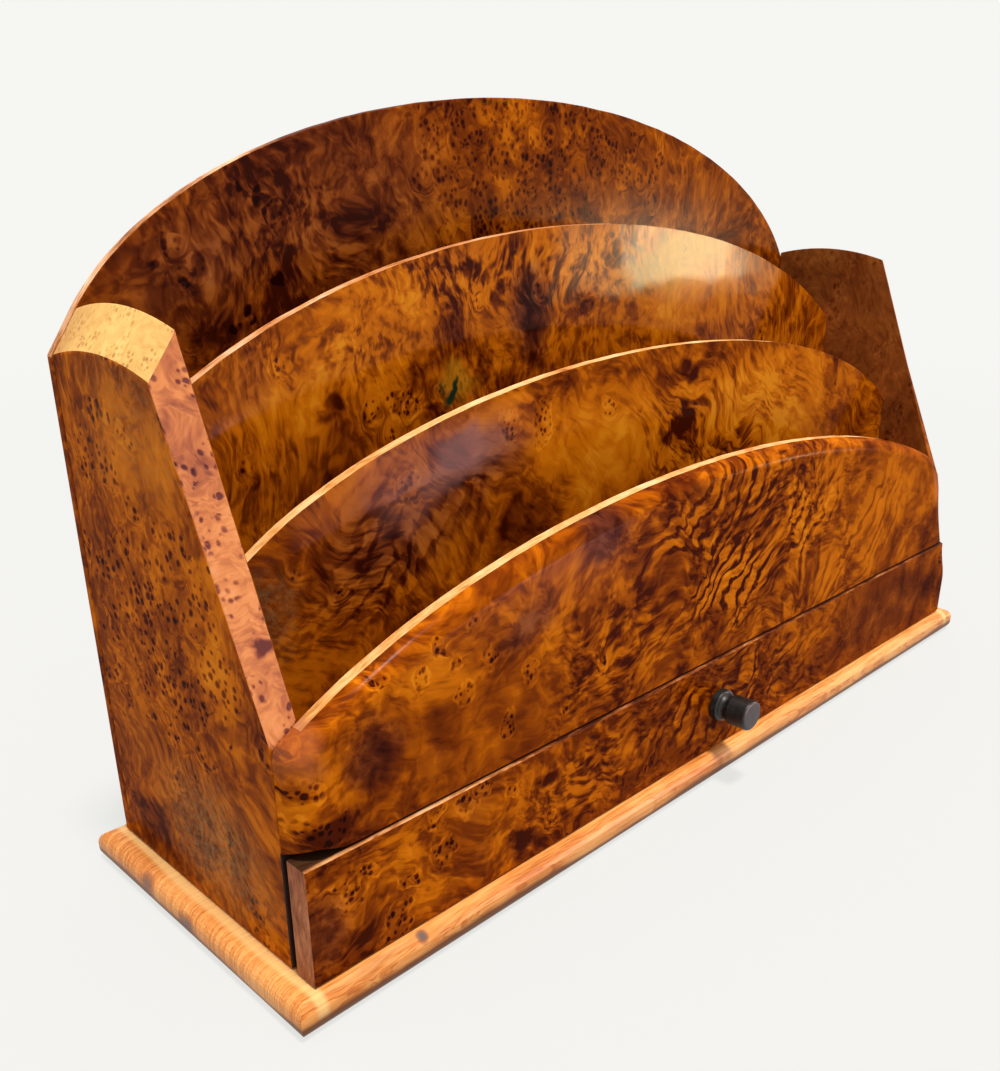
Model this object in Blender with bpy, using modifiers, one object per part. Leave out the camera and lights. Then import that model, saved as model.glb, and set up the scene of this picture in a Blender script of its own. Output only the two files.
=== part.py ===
"""Desk letter rack: three letter slots between arched boards, over one drawer, on a plain base board.

Metres, +Z up. X runs along the front, Y runs from the front to the back.
The origin is the middle of the base board's underside.
"""
import math

import bmesh
import bpy

# Clearances
FIT_GAP = 0.0003
OVERRUN = 0.002
WELD_DISTANCE = 0.00001

# Base board
BASE_THICKNESS = 0.009
BASE_SIDE_OVERHANG = 0.0068
BASE_FRONT_OVERHANG = 0.0131
BASE_BACK_OVERHANG = 0.005
BASE_UPPER_ROUND = 0.0038
BASE_LOWER_ROUND = 0.0032
BASE_ROUND_STEPS = 5

# Body and its side boards
BODY_WIDTH = 0.330
SIDE_DEPTH = 0.0815
SIDE_THICKNESS = 0.0075
SLOPE_SETBACK = 0.0334
SLOPE_BEVEL_SETBACK = 0.0009
SIDE_TOP_FALL = 0.0008
SIDE_TOP_CROWN = 0.0031
SIDE_TOP_BEVEL_DROP = 0.0106
SIDE_TOP_STEPS = 10
HOUSING_DEPTH = 0.0015

# Arched boards: the arch is the upper part of an ellipse a little wider than the body
ARCH_STEPS = 56
BACK_THICKNESS = 0.003
BACK_PEAK_HEIGHT = 0.199
BACK_ARCH_RISE = 0.0782
BACK_ARCH_WIDTH_SHARE = 1.0094
REAR_THICKNESS = 0.003
REAR_SETBACK = 0.0554
REAR_PEAK_HEIGHT = 0.162
REAR_ARCH_RISE = 0.0873
REAR_ARCH_WIDTH_SHARE = 1.118
MIDDLE_THICKNESS = 0.003
MIDDLE_SETBACK = 0.0249
MIDDLE_PEAK_HEIGHT = 0.1268
MIDDLE_ARCH_RISE = 0.0601
MIDDLE_ARCH_WIDTH_SHARE = 1.029
DIVIDER_SHOULDER = 0.004
FRONT_THICKNESS = 0.008
FRONT_PEAK_HEIGHT = 0.0969
FRONT_ARCH_RISE = 0.068
FRONT_ARCH_WIDTH_SHARE = 1.124
FRONT_ROUND = 0.005
FRONT_ROUND_STEPS = 5

# Floor of the letter slots, which is the roof of the drawer bay
BAY_HEIGHT = 0.031
FLOOR_THICKNESS = 0.004

# Drawer
DRAWER_AJAR = 0.002
DRAWER_FRONT_THICKNESS = 0.0073
DRAWER_FRONT_LIFT = 0.0005
DRAWER_FRONT_LAP = 0.0018
FRONT_PANEL_CLEARANCE = 0.0006
DRAWER_SIDE_CLEARANCE = 0.0008
DRAWER_HEAD_CLEARANCE = 0.0015
DRAWER_END_CLEARANCE = 0.005
DRAWER_WALL_THICKNESS = 0.004
DRAWER_BOTTOM_THICKNESS = 0.003
DRAWER_HOUSING_DEPTH = 0.002

# Turned knob
KNOB_OFF_CENTRE = 0.005
KNOB_FOOT_RADIUS = 0.0053
KNOB_FOOT_LENGTH = 0.003
KNOB_NECK_RADIUS = 0.0034
KNOB_NECK_LENGTH = 0.0028
KNOB_HEAD_RADIUS = 0.005
KNOB_HEAD_LENGTH = 0.0074
KNOB_EDGE_ROUND = 0.0008
KNOB_BORE_DEPTH = 0.007
TURNED_STEPS = 32

# Countersunk screws
SCREW_STEPS = 20
KNOB_SCREW_RADIUS = 0.0013
KNOB_SCREW_HEAD_RADIUS = 0.0026
KNOB_SCREW_HEAD_HEIGHT = 0.0016
BASE_SCREW_RADIUS = 0.0015
BASE_SCREW_HEAD_RADIUS = 0.003
BASE_SCREW_HEAD_HEIGHT = 0.0018
BASE_SCREW_LENGTH = 0.024
BASE_SCREW_SINK = 0.0004
BASE_SCREW_DEPTH_SHARES = (0.2, 0.8)

# Panel pins through the back
PIN_STEPS = 12
PIN_RADIUS = 0.0006
PIN_HEAD_RADIUS = 0.0011
PIN_HEAD_HEIGHT = 0.0005
PIN_LENGTH = 0.012
PIN_HEIGHT_SHARES = (0.12, 0.5, 0.88)
PIN_FLOOR_WIDTH_SHARES = (0.32, 0.68)

# Places that follow from the sizes
half_width = BODY_WIDTH / 2
half_inside = half_width - SIDE_THICKNESS
back_face = SIDE_DEPTH + FIT_GAP
base_width = BODY_WIDTH + 2 * BASE_SIDE_OVERHANG
base_depth = BASE_FRONT_OVERHANG + back_face + BACK_THICKNESS + BASE_BACK_OVERHANG
body_front = BASE_FRONT_OVERHANG - base_depth / 2
base_top = BASE_THICKNESS
body_bottom = base_top + FIT_GAP
bay_top = base_top + BAY_HEIGHT
floor_top = bay_top + FLOOR_THICKNESS
drawer_front_bottom = base_top + DRAWER_FRONT_LIFT
drawer_front_top = bay_top + DRAWER_FRONT_LAP
front_panel_bottom = drawer_front_top + FRONT_PANEL_CLEARANCE
drawer_back_plane = body_front - DRAWER_AJAR
drawer_underside = base_top + FIT_GAP
drawer_wall_bottom = drawer_underside + DRAWER_BOTTOM_THICKNESS + FIT_GAP
drawer_wall_top = bay_top - DRAWER_HEAD_CLEARANCE
drawer_half_width = half_inside - DRAWER_SIDE_CLEARANCE
drawer_rear = body_front + SIDE_DEPTH - DRAWER_END_CLEARANCE
knob_height = (drawer_front_bottom + drawer_front_top) / 2
side_middle = half_width - SIDE_THICKNESS / 2

for old in list(bpy.data.objects):
    bpy.data.objects.remove(old, do_unlink=True)

parts = bpy.data.collections.new("letter_rack")
cutters = bpy.data.collections.new("cutters")
bpy.context.scene.collection.children.link(parts)
bpy.context.scene.collection.children.link(cutters)


def material(name, colour, roughness, metallic=0.0):
    made = bpy.data.materials.new(name)
    made.use_nodes = True
    shader = made.node_tree.nodes["Principled BSDF"]
    shader.inputs["Base Color"].default_value = (*colour, 1.0)
    shader.inputs["Roughness"].default_value = roughness
    shader.inputs["Metallic"].default_value = metallic
    return made


burl = material("lacquered_burl", (0.30, 0.10, 0.02), 0.25)
plain_wood = material("plain_base_wood", (0.70, 0.36, 0.12), 0.45)
drawer_wood = material("plain_drawer_wood", (0.55, 0.33, 0.16), 0.6)
black_wood = material("blackened_wood", (0.012, 0.012, 0.013), 0.4)
steel = material("plated_steel", (0.55, 0.54, 0.52), 0.35, 1.0)


def new_object(name, mesh, look=None, group=parts):
    made = bpy.data.objects.new(name, mesh)
    group.objects.link(made)
    if look is not None:
        mesh.materials.append(look)
    return made


def box_mesh(name, size):
    mesh = bpy.data.meshes.new(name)
    shape = bmesh.new()
    bmesh.ops.create_cube(shape, size=1)
    bmesh.ops.scale(shape, vec=size, verts=shape.verts)
    shape.to_mesh(mesh)
    shape.free()
    return mesh


def box(name, low, high, look=None, group=parts):
    """An upright box between two corners, with its origin at its centre."""
    size = [b - a for a, b in zip(low, high)]
    made = new_object(name, box_mesh(name, size), look, group)
    made.location = [(a + b) / 2 for a, b in zip(low, high)]
    return made


def hide_cutter(cutter):
    cutter.hide_render = True
    cutter.display_type = 'WIRE'
    return cutter


def box_cutter(name, low, high):
    return hide_cutter(box(name, low, high, group=cutters))


def cut(target, cutter):
    step = target.modifiers.new(cutter.name, 'BOOLEAN')
    step.operation = 'DIFFERENCE'
    step.solver = 'EXACT'
    step.object = cutter


def turned(name, profile, steps, look=None, group=parts):
    """A solid turned about Z from (radius, height) points that run from its top to its bottom."""
    mesh = bpy.data.meshes.new(name)
    points = [(radius, 0, height) for radius, height in profile]
    edges = [(i, i + 1) for i in range(len(points) - 1)]
    mesh.from_pydata(points, edges, [])
    made = new_object(name, mesh, look, group)
    spin = made.modifiers.new("turn", 'SCREW')
    spin.axis = 'Z'
    spin.steps = steps
    spin.render_steps = steps
    spin.use_merge_vertices = True
    spin.merge_threshold = WELD_DISTANCE
    spin.use_smooth_shade = True
    return made


def arch_height(x, peak, rise, width_share):
    """Height of an elliptic arch over the base board, at a distance x from the middle."""
    half_span = half_width * width_share
    return base_top + peak - rise + rise * math.sqrt(1 - (x / half_span) ** 2)


def arch_points(half_length, peak, rise, width_share):
    """Points along an arch from right to left, closer together towards its steep ends."""
    points = []
    for i in range(ARCH_STEPS + 1):
        x = half_length * math.cos(math.pi * i / ARCH_STEPS)
        points.append((x, arch_height(x, peak, rise, width_share)))
    return points


def board(name, outline, thickness, front_y, look=burl):
    """A flat board from an XZ outline, with its front face at front_y."""
    curve = bpy.data.curves.new(name, 'CURVE')
    curve.dimensions = '2D'
    curve.fill_mode = 'BOTH'
    curve.extrude = thickness / 2
    spline = curve.splines.new('POLY')
    spline.points.add(len(outline) - 1)
    for point, (x, z) in zip(spline.points, outline):
        point.co = (x, z, 0, 1)
    spline.use_cyclic_u = True
    shape = new_object(name + "_outline", curve)
    shape.rotation_euler = (math.pi / 2, 0, 0)
    shape.location = (0, front_y + thickness / 2, 0)
    bpy.context.view_layer.update()
    graph = bpy.context.evaluated_depsgraph_get()
    mesh = bpy.data.meshes.new_from_object(shape.evaluated_get(graph))
    welded = bmesh.new()
    welded.from_mesh(mesh)
    bmesh.ops.remove_doubles(welded, verts=welded.verts, dist=WELD_DISTANCE)
    bmesh.ops.recalc_face_normals(welded, faces=welded.faces)
    welded.to_mesh(mesh)
    welded.free()
    mesh.name = name
    made = new_object(name, mesh, look)
    made.matrix_world = shape.matrix_world.copy()
    bpy.data.objects.remove(shape, do_unlink=True)
    return made


# Base board: one flat board, rounded over above and below on all four edges
base = box(
    "base",
    (-base_width / 2, -base_depth / 2, 0),
    (base_width / 2, base_depth / 2, BASE_THICKNESS),
    plain_wood,
)


def round_rim(target, z, width, steps):
    """Rounds the four rim edges of a box that lie at height z of its mesh."""
    shape = bmesh.new()
    shape.from_mesh(target.data)
    rim = [edge for edge in shape.edges if all(abs(v.co.z - z) < FIT_GAP for v in edge.verts)]
    bmesh.ops.bevel(
        shape, geom=rim, offset=width, offset_type='OFFSET', segments=steps, profile=0.5, affect='EDGES'
    )
    shape.to_mesh(target.data)
    shape.free()


round_rim(base, BASE_THICKNESS / 2, BASE_UPPER_ROUND, BASE_ROUND_STEPS)
round_rim(base, -BASE_THICKNESS / 2, BASE_LOWER_ROUND, BASE_ROUND_STEPS)
base.data.shade_smooth()
base.data.set_sharp_from_angle(angle=math.radians(40))


# Side boards: a loft from the inner outline to the lower outer one, which bevels the top and the slope
def crowned_top(front_y, front_z, back_y, back_z):
    """Points of the crowned top edge, from its front corner to its back corner."""
    points = []
    for i in range(SIDE_TOP_STEPS + 1):
        share = i / SIDE_TOP_STEPS
        lift = SIDE_TOP_CROWN * 4 * share * (1 - share)
        y = front_y + (back_y - front_y) * share
        points.append((y, front_z + (back_z - front_z) * share + lift))
    return points


back_corner_in = arch_height(half_inside, BACK_PEAK_HEIGHT, BACK_ARCH_RISE, BACK_ARCH_WIDTH_SHARE)
back_corner_out = back_corner_in - SIDE_TOP_BEVEL_DROP
foot_in = arch_height(half_inside, FRONT_PEAK_HEIGHT, FRONT_ARCH_RISE, FRONT_ARCH_WIDTH_SHARE)
foot_out = arch_height(half_width, FRONT_PEAK_HEIGHT, FRONT_ARCH_RISE, FRONT_ARCH_WIDTH_SHARE)
inner_outline = [(0, body_bottom), (0, foot_in)]
inner_outline += crowned_top(SLOPE_SETBACK, back_corner_in - SIDE_TOP_FALL, SIDE_DEPTH, back_corner_in)
inner_outline += [(SIDE_DEPTH, body_bottom)]
outer_outline = [(0, body_bottom), (0, foot_out)]
outer_outline += crowned_top(
    SLOPE_SETBACK + SLOPE_BEVEL_SETBACK, back_corner_out - SIDE_TOP_FALL, SIDE_DEPTH, back_corner_out
)
outer_outline += [(SIDE_DEPTH, body_bottom)]


def side_board(name, hand):
    """A side board, with hand -1 for the left one and 1 for the right one."""
    shape = bmesh.new()
    inner = [shape.verts.new((hand * half_inside, body_front + y, z)) for y, z in inner_outline]
    outer = [shape.verts.new((hand * half_width, body_front + y, z)) for y, z in outer_outline]
    shape.faces.new(inner)
    shape.faces.new(outer)
    for i in range(len(inner)):
        j = (i + 1) % len(inner)
        shape.faces.new((inner[i], inner[j], outer[j], outer[i]))
    bmesh.ops.recalc_face_normals(shape, faces=shape.faces)
    bmesh.ops.triangulate(shape, faces=[face for face in shape.faces if len(face.verts) == 4])
    mesh = bpy.data.meshes.new(name)
    shape.to_mesh(mesh)
    shape.free()
    return new_object(name, mesh, burl)


left_side = side_board("left_side", -1)
right_side = side_board("right_side", 1)

# Slot floor: its ends sit in grooves that run the whole depth of the sides
tongue = HOUSING_DEPTH - FIT_GAP
floor_half_length = half_inside + tongue
slot_floor = box(
    "slot_floor",
    (-floor_half_length, body_front + FIT_GAP, bay_top + FIT_GAP),
    (floor_half_length, body_front + SIDE_DEPTH, floor_top - FIT_GAP),
    drawer_wood,
)
for side, hand in ((left_side, -1), (right_side, 1)):
    ends = sorted((hand * (half_inside - OVERRUN), hand * (half_inside + HOUSING_DEPTH)))
    groove = box_cutter(
        side.name + "_floor_groove",
        (ends[0], body_front - OVERRUN, bay_top),
        (ends[1], body_front + SIDE_DEPTH + OVERRUN, floor_top),
    )
    cut(side, groove)


# Dividers: arched boards that stand on the slot floor, with tongues in stopped housings in the sides
def divider(name, setback, thickness, peak, rise, width_share):
    half_length = half_inside - FIT_GAP
    tongue_top = arch_height(half_inside, peak, rise, width_share) - DIVIDER_SHOULDER
    outline = arch_points(half_length, peak, rise, width_share)
    outline += [
        (-half_length, tongue_top),
        (-half_inside - tongue, tongue_top),
        (-half_inside - tongue, floor_top),
        (half_inside + tongue, floor_top),
        (half_inside + tongue, tongue_top),
        (half_length, tongue_top),
    ]
    front_y = body_front + setback
    made = board(name, outline, thickness, front_y)
    for side, hand in ((left_side, -1), (right_side, 1)):
        ends = sorted((hand * (half_inside - OVERRUN), hand * (half_inside + HOUSING_DEPTH)))
        housing = box_cutter(
            side.name + "_" + name + "_housing",
            (ends[0], front_y - FIT_GAP, floor_top - OVERRUN),
            (ends[1], front_y + thickness + FIT_GAP, tongue_top + FIT_GAP),
        )
        cut(side, housing)
    return made


rear_divider = divider(
    "rear_divider", REAR_SETBACK, REAR_THICKNESS, REAR_PEAK_HEIGHT, REAR_ARCH_RISE, REAR_ARCH_WIDTH_SHARE
)
middle_divider = divider(
    "middle_divider",
    MIDDLE_SETBACK,
    MIDDLE_THICKNESS,
    MIDDLE_PEAK_HEIGHT,
    MIDDLE_ARCH_RISE,
    MIDDLE_ARCH_WIDTH_SHARE,
)

# Back panel: laid over the sides' back edges, its arch carried on down the sides' bevelled tops
back_outline = arch_points(half_inside, BACK_PEAK_HEIGHT, BACK_ARCH_RISE, BACK_ARCH_WIDTH_SHARE)
back_outline += [
    (-half_width, back_corner_out),
    (-half_width, body_bottom),
    (half_width, body_bottom),
    (half_width, back_corner_out),
]
back_panel = board("back_panel", back_outline, BACK_THICKNESS, body_front + back_face)

# Front panel: laid over the sides' front edges, its front arris rounded over the arch and both ends
front_outline = arch_points(half_width, FRONT_PEAK_HEIGHT, FRONT_ARCH_RISE, FRONT_ARCH_WIDTH_SHARE)
front_outline += [(-half_width, front_panel_bottom), (half_width, front_panel_bottom)]
front_panel = board("front_panel", front_outline, FRONT_THICKNESS, body_front - FIT_GAP - FRONT_THICKNESS)


def round_front_arris(target, thickness, width, steps):
    """Rounds the front edges of a board made by board(), except those along its bottom."""
    shape = bmesh.new()
    shape.from_mesh(target.data)
    face_z = max(v.co.z for v in shape.verts)
    low = min(v.co.y for v in shape.verts)
    rim = []
    for edge in shape.edges:
        on_face = all(abs(v.co.z - face_z) < FIT_GAP for v in edge.verts)
        on_bottom = all(abs(v.co.y - low) < FIT_GAP for v in edge.verts)
        turns = len(edge.link_faces) == 2 and edge.calc_face_angle() > math.radians(60)
        if on_face and turns and not on_bottom:
            rim.append(edge)
    bmesh.ops.bevel(
        shape, geom=rim, offset=width, offset_type='OFFSET', segments=steps, profile=0.5, affect='EDGES'
    )
    shape.to_mesh(target.data)
    shape.free()


round_front_arris(front_panel, FRONT_THICKNESS, FRONT_ROUND, FRONT_ROUND_STEPS)
for arched in (back_panel, rear_divider, middle_divider, front_panel):
    arched.data.shade_smooth()
    arched.data.set_sharp_from_angle(angle=math.radians(30))

# Drawer: every piece hangs from one empty on the slide's line
drawer = bpy.data.objects.new("drawer_slide", None)
parts.objects.link(drawer)
drawer.location = (0, drawer_back_plane, knob_height)
bpy.context.view_layer.update()


def in_drawer(piece):
    piece.parent = drawer
    piece.matrix_parent_inverse = drawer.matrix_world.inverted()
    return piece


drawer_front = in_drawer(
    box(
        "drawer_front",
        (-half_width, drawer_back_plane - DRAWER_FRONT_THICKNESS, drawer_front_bottom),
        (half_width, drawer_back_plane, drawer_front_top),
        burl,
    )
)
wall_inner = drawer_half_width - DRAWER_WALL_THICKNESS
for name, hand in (("drawer_left_wall", -1), ("drawer_right_wall", 1)):
    ends = sorted((hand * wall_inner, hand * drawer_half_width))
    in_drawer(
        box(
            name,
            (ends[0], drawer_back_plane - DRAWER_HOUSING_DEPTH + FIT_GAP, drawer_wall_bottom),
            (ends[1], drawer_rear, drawer_wall_top),
            drawer_wood,
        )
    )
    housing = box_cutter(
        name + "_housing",
        (ends[0] - FIT_GAP, drawer_back_plane - DRAWER_HOUSING_DEPTH, drawer_wall_bottom - FIT_GAP),
        (ends[1] + FIT_GAP, drawer_back_plane + OVERRUN, drawer_wall_top + FIT_GAP),
    )
    cut(drawer_front, in_drawer(housing))
in_drawer(
    box(
        "drawer_back",
        (-wall_inner + FIT_GAP, drawer_rear - DRAWER_WALL_THICKNESS, drawer_wall_bottom),
        (wall_inner - FIT_GAP, drawer_rear, drawer_wall_top),
        drawer_wood,
    )
)
in_drawer(
    box(
        "drawer_bottom",
        (-drawer_half_width, drawer_back_plane + FIT_GAP, drawer_underside),
        (drawer_half_width, drawer_rear, drawer_underside + DRAWER_BOTTOM_THICKNESS),
        drawer_wood,
    )
)

# Knob: turned on the Z axis with its face up, then laid down to point to the front
knob_x = -KNOB_OFF_CENTRE
knob_length = KNOB_FOOT_LENGTH + KNOB_NECK_LENGTH + KNOB_HEAD_LENGTH
bore_radius = KNOB_SCREW_RADIUS + FIT_GAP


def quarter(centre_radius, centre_height, size, start, steps=4):
    """Points of a quarter round that runs clockwise from the given angle."""
    points = []
    for i in range(steps + 1):
        angle = start - math.pi / 2 * i / steps
        points.append((centre_radius + size * math.cos(angle), centre_height + size * math.sin(angle)))
    return points


def neck_points(steps=6):
    """The hollow of the neck, from the head down to the foot."""
    points = []
    top = KNOB_FOOT_LENGTH + KNOB_NECK_LENGTH
    rim = KNOB_FOOT_RADIUS - KNOB_EDGE_ROUND
    for i in range(steps + 1):
        share = i / steps
        waist = rim + (KNOB_NECK_RADIUS - rim) * math.sin(math.pi * share)
        points.append((waist, top - KNOB_NECK_LENGTH * share))
    return points


knob_profile = [(0, knob_length)]
knob_profile += quarter(
    KNOB_HEAD_RADIUS - KNOB_EDGE_ROUND, knob_length - KNOB_EDGE_ROUND, KNOB_EDGE_ROUND, math.pi / 2
)
knob_profile += [(KNOB_HEAD_RADIUS, KNOB_FOOT_LENGTH + KNOB_NECK_LENGTH + KNOB_EDGE_ROUND)]
knob_profile += neck_points()
knob_profile += [
    (KNOB_FOOT_RADIUS, KNOB_FOOT_LENGTH - KNOB_EDGE_ROUND),
    (KNOB_FOOT_RADIUS, 0),
    (bore_radius, 0),
    (bore_radius, KNOB_BORE_DEPTH),
    (0, KNOB_BORE_DEPTH),
]
drawer_face = drawer_back_plane - DRAWER_FRONT_THICKNESS
knob = turned("knob", knob_profile, TURNED_STEPS, black_wood)
knob.rotation_euler = (math.pi / 2, 0, 0)
knob.location = (knob_x, drawer_face - FIT_GAP, knob_height)
in_drawer(knob)


# Countersunk screws: tip up on Z, underside of the head at the origin
def screw_profile(radius, head_radius, head_height, length):
    """Half section of a countersunk screw from its pointed tip down to its head."""
    return [(0, length), (radius, length - radius), (radius, head_height), (head_radius, 0), (0, 0)]


knob_screw_length = DRAWER_FRONT_THICKNESS + KNOB_BORE_DEPTH - FIT_GAP
knob_screw = turned(
    "knob_screw",
    screw_profile(
        KNOB_SCREW_RADIUS, KNOB_SCREW_HEAD_RADIUS, KNOB_SCREW_HEAD_HEIGHT, knob_screw_length
    ),
    SCREW_STEPS,
    steel,
)
knob_screw.rotation_euler = (math.pi / 2, 0, 0)
knob_screw.location = (knob_x, drawer_back_plane, knob_height)
in_drawer(knob_screw)


def screw_cutter(name, radius, head_radius, head_height, length):
    """A bore with a countersink that runs out past both ends of what it goes through."""
    profile = [
        (0, length),
        (radius + FIT_GAP, length),
        (radius + FIT_GAP, head_height + FIT_GAP),
        (head_radius + FIT_GAP, 0),
        (head_radius + FIT_GAP, -OVERRUN),
        (0, -OVERRUN),
    ]
    return hide_cutter(turned(name, profile, SCREW_STEPS, group=cutters))


knob_bore = screw_cutter(
    "knob_screw_bore",
    KNOB_SCREW_RADIUS,
    KNOB_SCREW_HEAD_RADIUS,
    KNOB_SCREW_HEAD_HEIGHT,
    DRAWER_FRONT_THICKNESS + OVERRUN,
)
knob_bore.rotation_euler = (math.pi / 2, 0, 0)
knob_bore.location = (knob_x, drawer_back_plane, knob_height)
cut(drawer_front, in_drawer(knob_bore))

# Base screws: up through the base board into the sides' bottom edges
for side_name, side, hand in (("left", left_side, -1), ("right", right_side, 1)):
    for place, share in zip(("front", "rear"), BASE_SCREW_DEPTH_SHARES):
        name = "base_screw_" + side_name + "_" + place
        where = (hand * side_middle, body_front + SIDE_DEPTH * share, BASE_SCREW_SINK)
        screw = turned(
            name,
            screw_profile(
                BASE_SCREW_RADIUS, BASE_SCREW_HEAD_RADIUS, BASE_SCREW_HEAD_HEIGHT, BASE_SCREW_LENGTH
            ),
            SCREW_STEPS,
            steel,
        )
        screw.location = where
        bore = screw_cutter(
            name + "_bore",
            BASE_SCREW_RADIUS,
            BASE_SCREW_HEAD_RADIUS,
            BASE_SCREW_HEAD_HEIGHT,
            BASE_SCREW_LENGTH + FIT_GAP,
        )
        bore.location = where
        cut(base, bore)
        cut(side, bore)

# Panel pins: from behind through the back panel into the sides and the slot floor
pin_places = []
for side_name, side, hand in (("left", left_side, -1), ("right", right_side, 1)):
    for place, share in zip(("low", "middle", "high"), PIN_HEIGHT_SHARES):
        height = body_bottom + (back_corner_out - body_bottom) * share
        pin_places.append((side_name + "_" + place, side, hand * side_middle, height))
floor_middle = bay_top + FLOOR_THICKNESS / 2
for side_name, share in zip(("left", "right"), PIN_FLOOR_WIDTH_SHARES):
    pin_places.append(("floor_" + side_name, slot_floor, BODY_WIDTH * share - half_width, floor_middle))
back_plane = body_front + back_face + BACK_THICKNESS
for name, target, x, height in pin_places:
    pin = turned(
        "back_pin_" + name,
        [
            (0, PIN_LENGTH),
            (PIN_RADIUS, PIN_LENGTH - PIN_RADIUS),
            (PIN_RADIUS, PIN_HEAD_HEIGHT),
            (PIN_HEAD_RADIUS, PIN_HEAD_HEIGHT),
            (PIN_HEAD_RADIUS, 0),
            (0, 0),
        ],
        PIN_STEPS,
        steel,
    )
    pin.rotation_euler = (math.pi / 2, 0, 0)
    pin.location = (x, back_plane, height)
    bore_profile = [
        (0, PIN_LENGTH + FIT_GAP),
        (PIN_RADIUS + FIT_GAP, PIN_LENGTH + FIT_GAP),
        (PIN_RADIUS + FIT_GAP, PIN_HEAD_HEIGHT + FIT_GAP),
        (PIN_HEAD_RADIUS + FIT_GAP, PIN_HEAD_HEIGHT + FIT_GAP),
        (PIN_HEAD_RADIUS + FIT_GAP, -OVERRUN),
        (0, -OVERRUN),
    ]
    bore = hide_cutter(turned("back_pin_" + name + "_bore", bore_profile, PIN_STEPS, group=cutters))
    bore.rotation_euler = (math.pi / 2, 0, 0)
    bore.location = (x, back_plane, height)
    cut(back_panel, bore)
    cut(target, bore)
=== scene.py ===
"""Letter rack in thuya burl: arched boards between two thick sides, over one drawer, on a plain base."""
import math

import bmesh
import bpy
from mathutils import Matrix, Vector, noise


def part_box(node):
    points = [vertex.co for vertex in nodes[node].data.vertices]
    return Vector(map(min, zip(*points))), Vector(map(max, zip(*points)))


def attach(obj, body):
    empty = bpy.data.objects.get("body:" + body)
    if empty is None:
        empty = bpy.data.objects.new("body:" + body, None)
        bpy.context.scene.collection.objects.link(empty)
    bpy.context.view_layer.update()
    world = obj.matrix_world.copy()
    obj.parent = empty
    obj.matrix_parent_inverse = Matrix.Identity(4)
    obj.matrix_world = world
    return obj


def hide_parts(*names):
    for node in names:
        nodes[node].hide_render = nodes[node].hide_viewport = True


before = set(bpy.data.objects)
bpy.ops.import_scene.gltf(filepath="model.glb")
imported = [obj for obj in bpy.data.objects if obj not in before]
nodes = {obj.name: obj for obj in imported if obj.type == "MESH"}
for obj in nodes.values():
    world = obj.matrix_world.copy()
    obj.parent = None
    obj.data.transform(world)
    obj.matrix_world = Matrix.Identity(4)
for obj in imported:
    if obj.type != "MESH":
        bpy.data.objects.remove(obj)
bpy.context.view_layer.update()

# Viewpoint: close to the rack's front left corner and a little above it, looking down on the slots.
# The direction is given by the view's own right, down and forward axes.
LENS_MM = 37.585
SENSOR_MM = 36.0
SHIFT_X_SHARE = -0.02166
SHIFT_Y_SHARE = 0.08102
eye_point = Vector((-0.26790, -0.21610, 0.18305))
view_right = Vector((0.701626, -0.712543, 0.001628))
view_down = Vector((-0.272138, -0.270079, -0.923579))
view_forward = Vector((0.658529, 0.647564, -0.383405))
camera_data = bpy.data.cameras.new("camera")
camera_data.sensor_fit = 'HORIZONTAL'
camera_data.sensor_width = SENSOR_MM
camera_data.lens = LENS_MM
camera_data.shift_x = SHIFT_X_SHARE
camera_data.shift_y = SHIFT_Y_SHARE
camera_data.clip_start = 0.01
camera = bpy.data.objects.new("camera", camera_data)
bpy.context.scene.collection.objects.link(camera)
turn = Matrix((view_right, -view_down, -view_forward)).transposed()
camera.matrix_world = Matrix.Translation(eye_point) @ turn.to_4x4()
bpy.context.scene.camera = camera
bpy.context.scene.view_settings.view_transform = 'Standard'

# Studio: a plain off-white floor that runs out into a plain off-white room. The object's shadow stays
# on the floor close by, and fades out with distance.
ROOM_WHITE = "#F6F6F2"
FLOOR_REACH = 6.0
FLOOR_SIDES = 64
SHADOW_FULL = 0.30
SHADOW_GONE = 1.10
SHADOW_SHARE = 0.22
# For a fade that eases in and out
SOFT = {"interpolation_type": 'SMOOTHSTEP'}


def linear(hex_colour):
    """An sRGB hex colour as the linear colour that a shader takes."""
    shares = [int(hex_colour[i:i + 2], 16) / 255 for i in (1, 3, 5)]
    return tuple(s / 12.92 if s <= 0.04045 else ((s + 0.055) / 1.055) ** 2.4 for s in shares) + (1.0,)


def add(tree, kind, sockets=(), **settings):
    """Adds a node with its settings and links. sockets holds values, or the nodes and sockets that feed
    them, in order or by key."""
    made = tree.nodes.new("ShaderNode" + kind)
    for key, value in settings.items():
        setattr(made, key, value)
    fed = sockets.items() if isinstance(sockets, dict) else enumerate(sockets)
    for key, value in fed:
        if isinstance(value, bpy.types.Node):
            value = value.outputs[0]
        if isinstance(value, bpy.types.NodeSocket):
            tree.links.new(value, made.inputs[key])
        else:
            made.inputs[key].default_value = value
    return made


def blank(name):
    """A material with an empty node tree."""
    made = bpy.data.materials.new(name)
    made.use_nodes = True
    made.node_tree.nodes.clear()
    return made


def seen_directly(tree):
    """1 for a ray that comes from the camera, off a shine or through glass, and 0 for one that lights."""
    ray = add(tree, "LightPath")
    straight = add(
        tree, "Math", (ray.outputs["Is Camera Ray"], ray.outputs["Is Glossy Ray"]), operation='MAXIMUM'
    )
    return add(tree, "Math", (straight, ray.outputs["Is Transmission Ray"]), operation='MAXIMUM')


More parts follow.
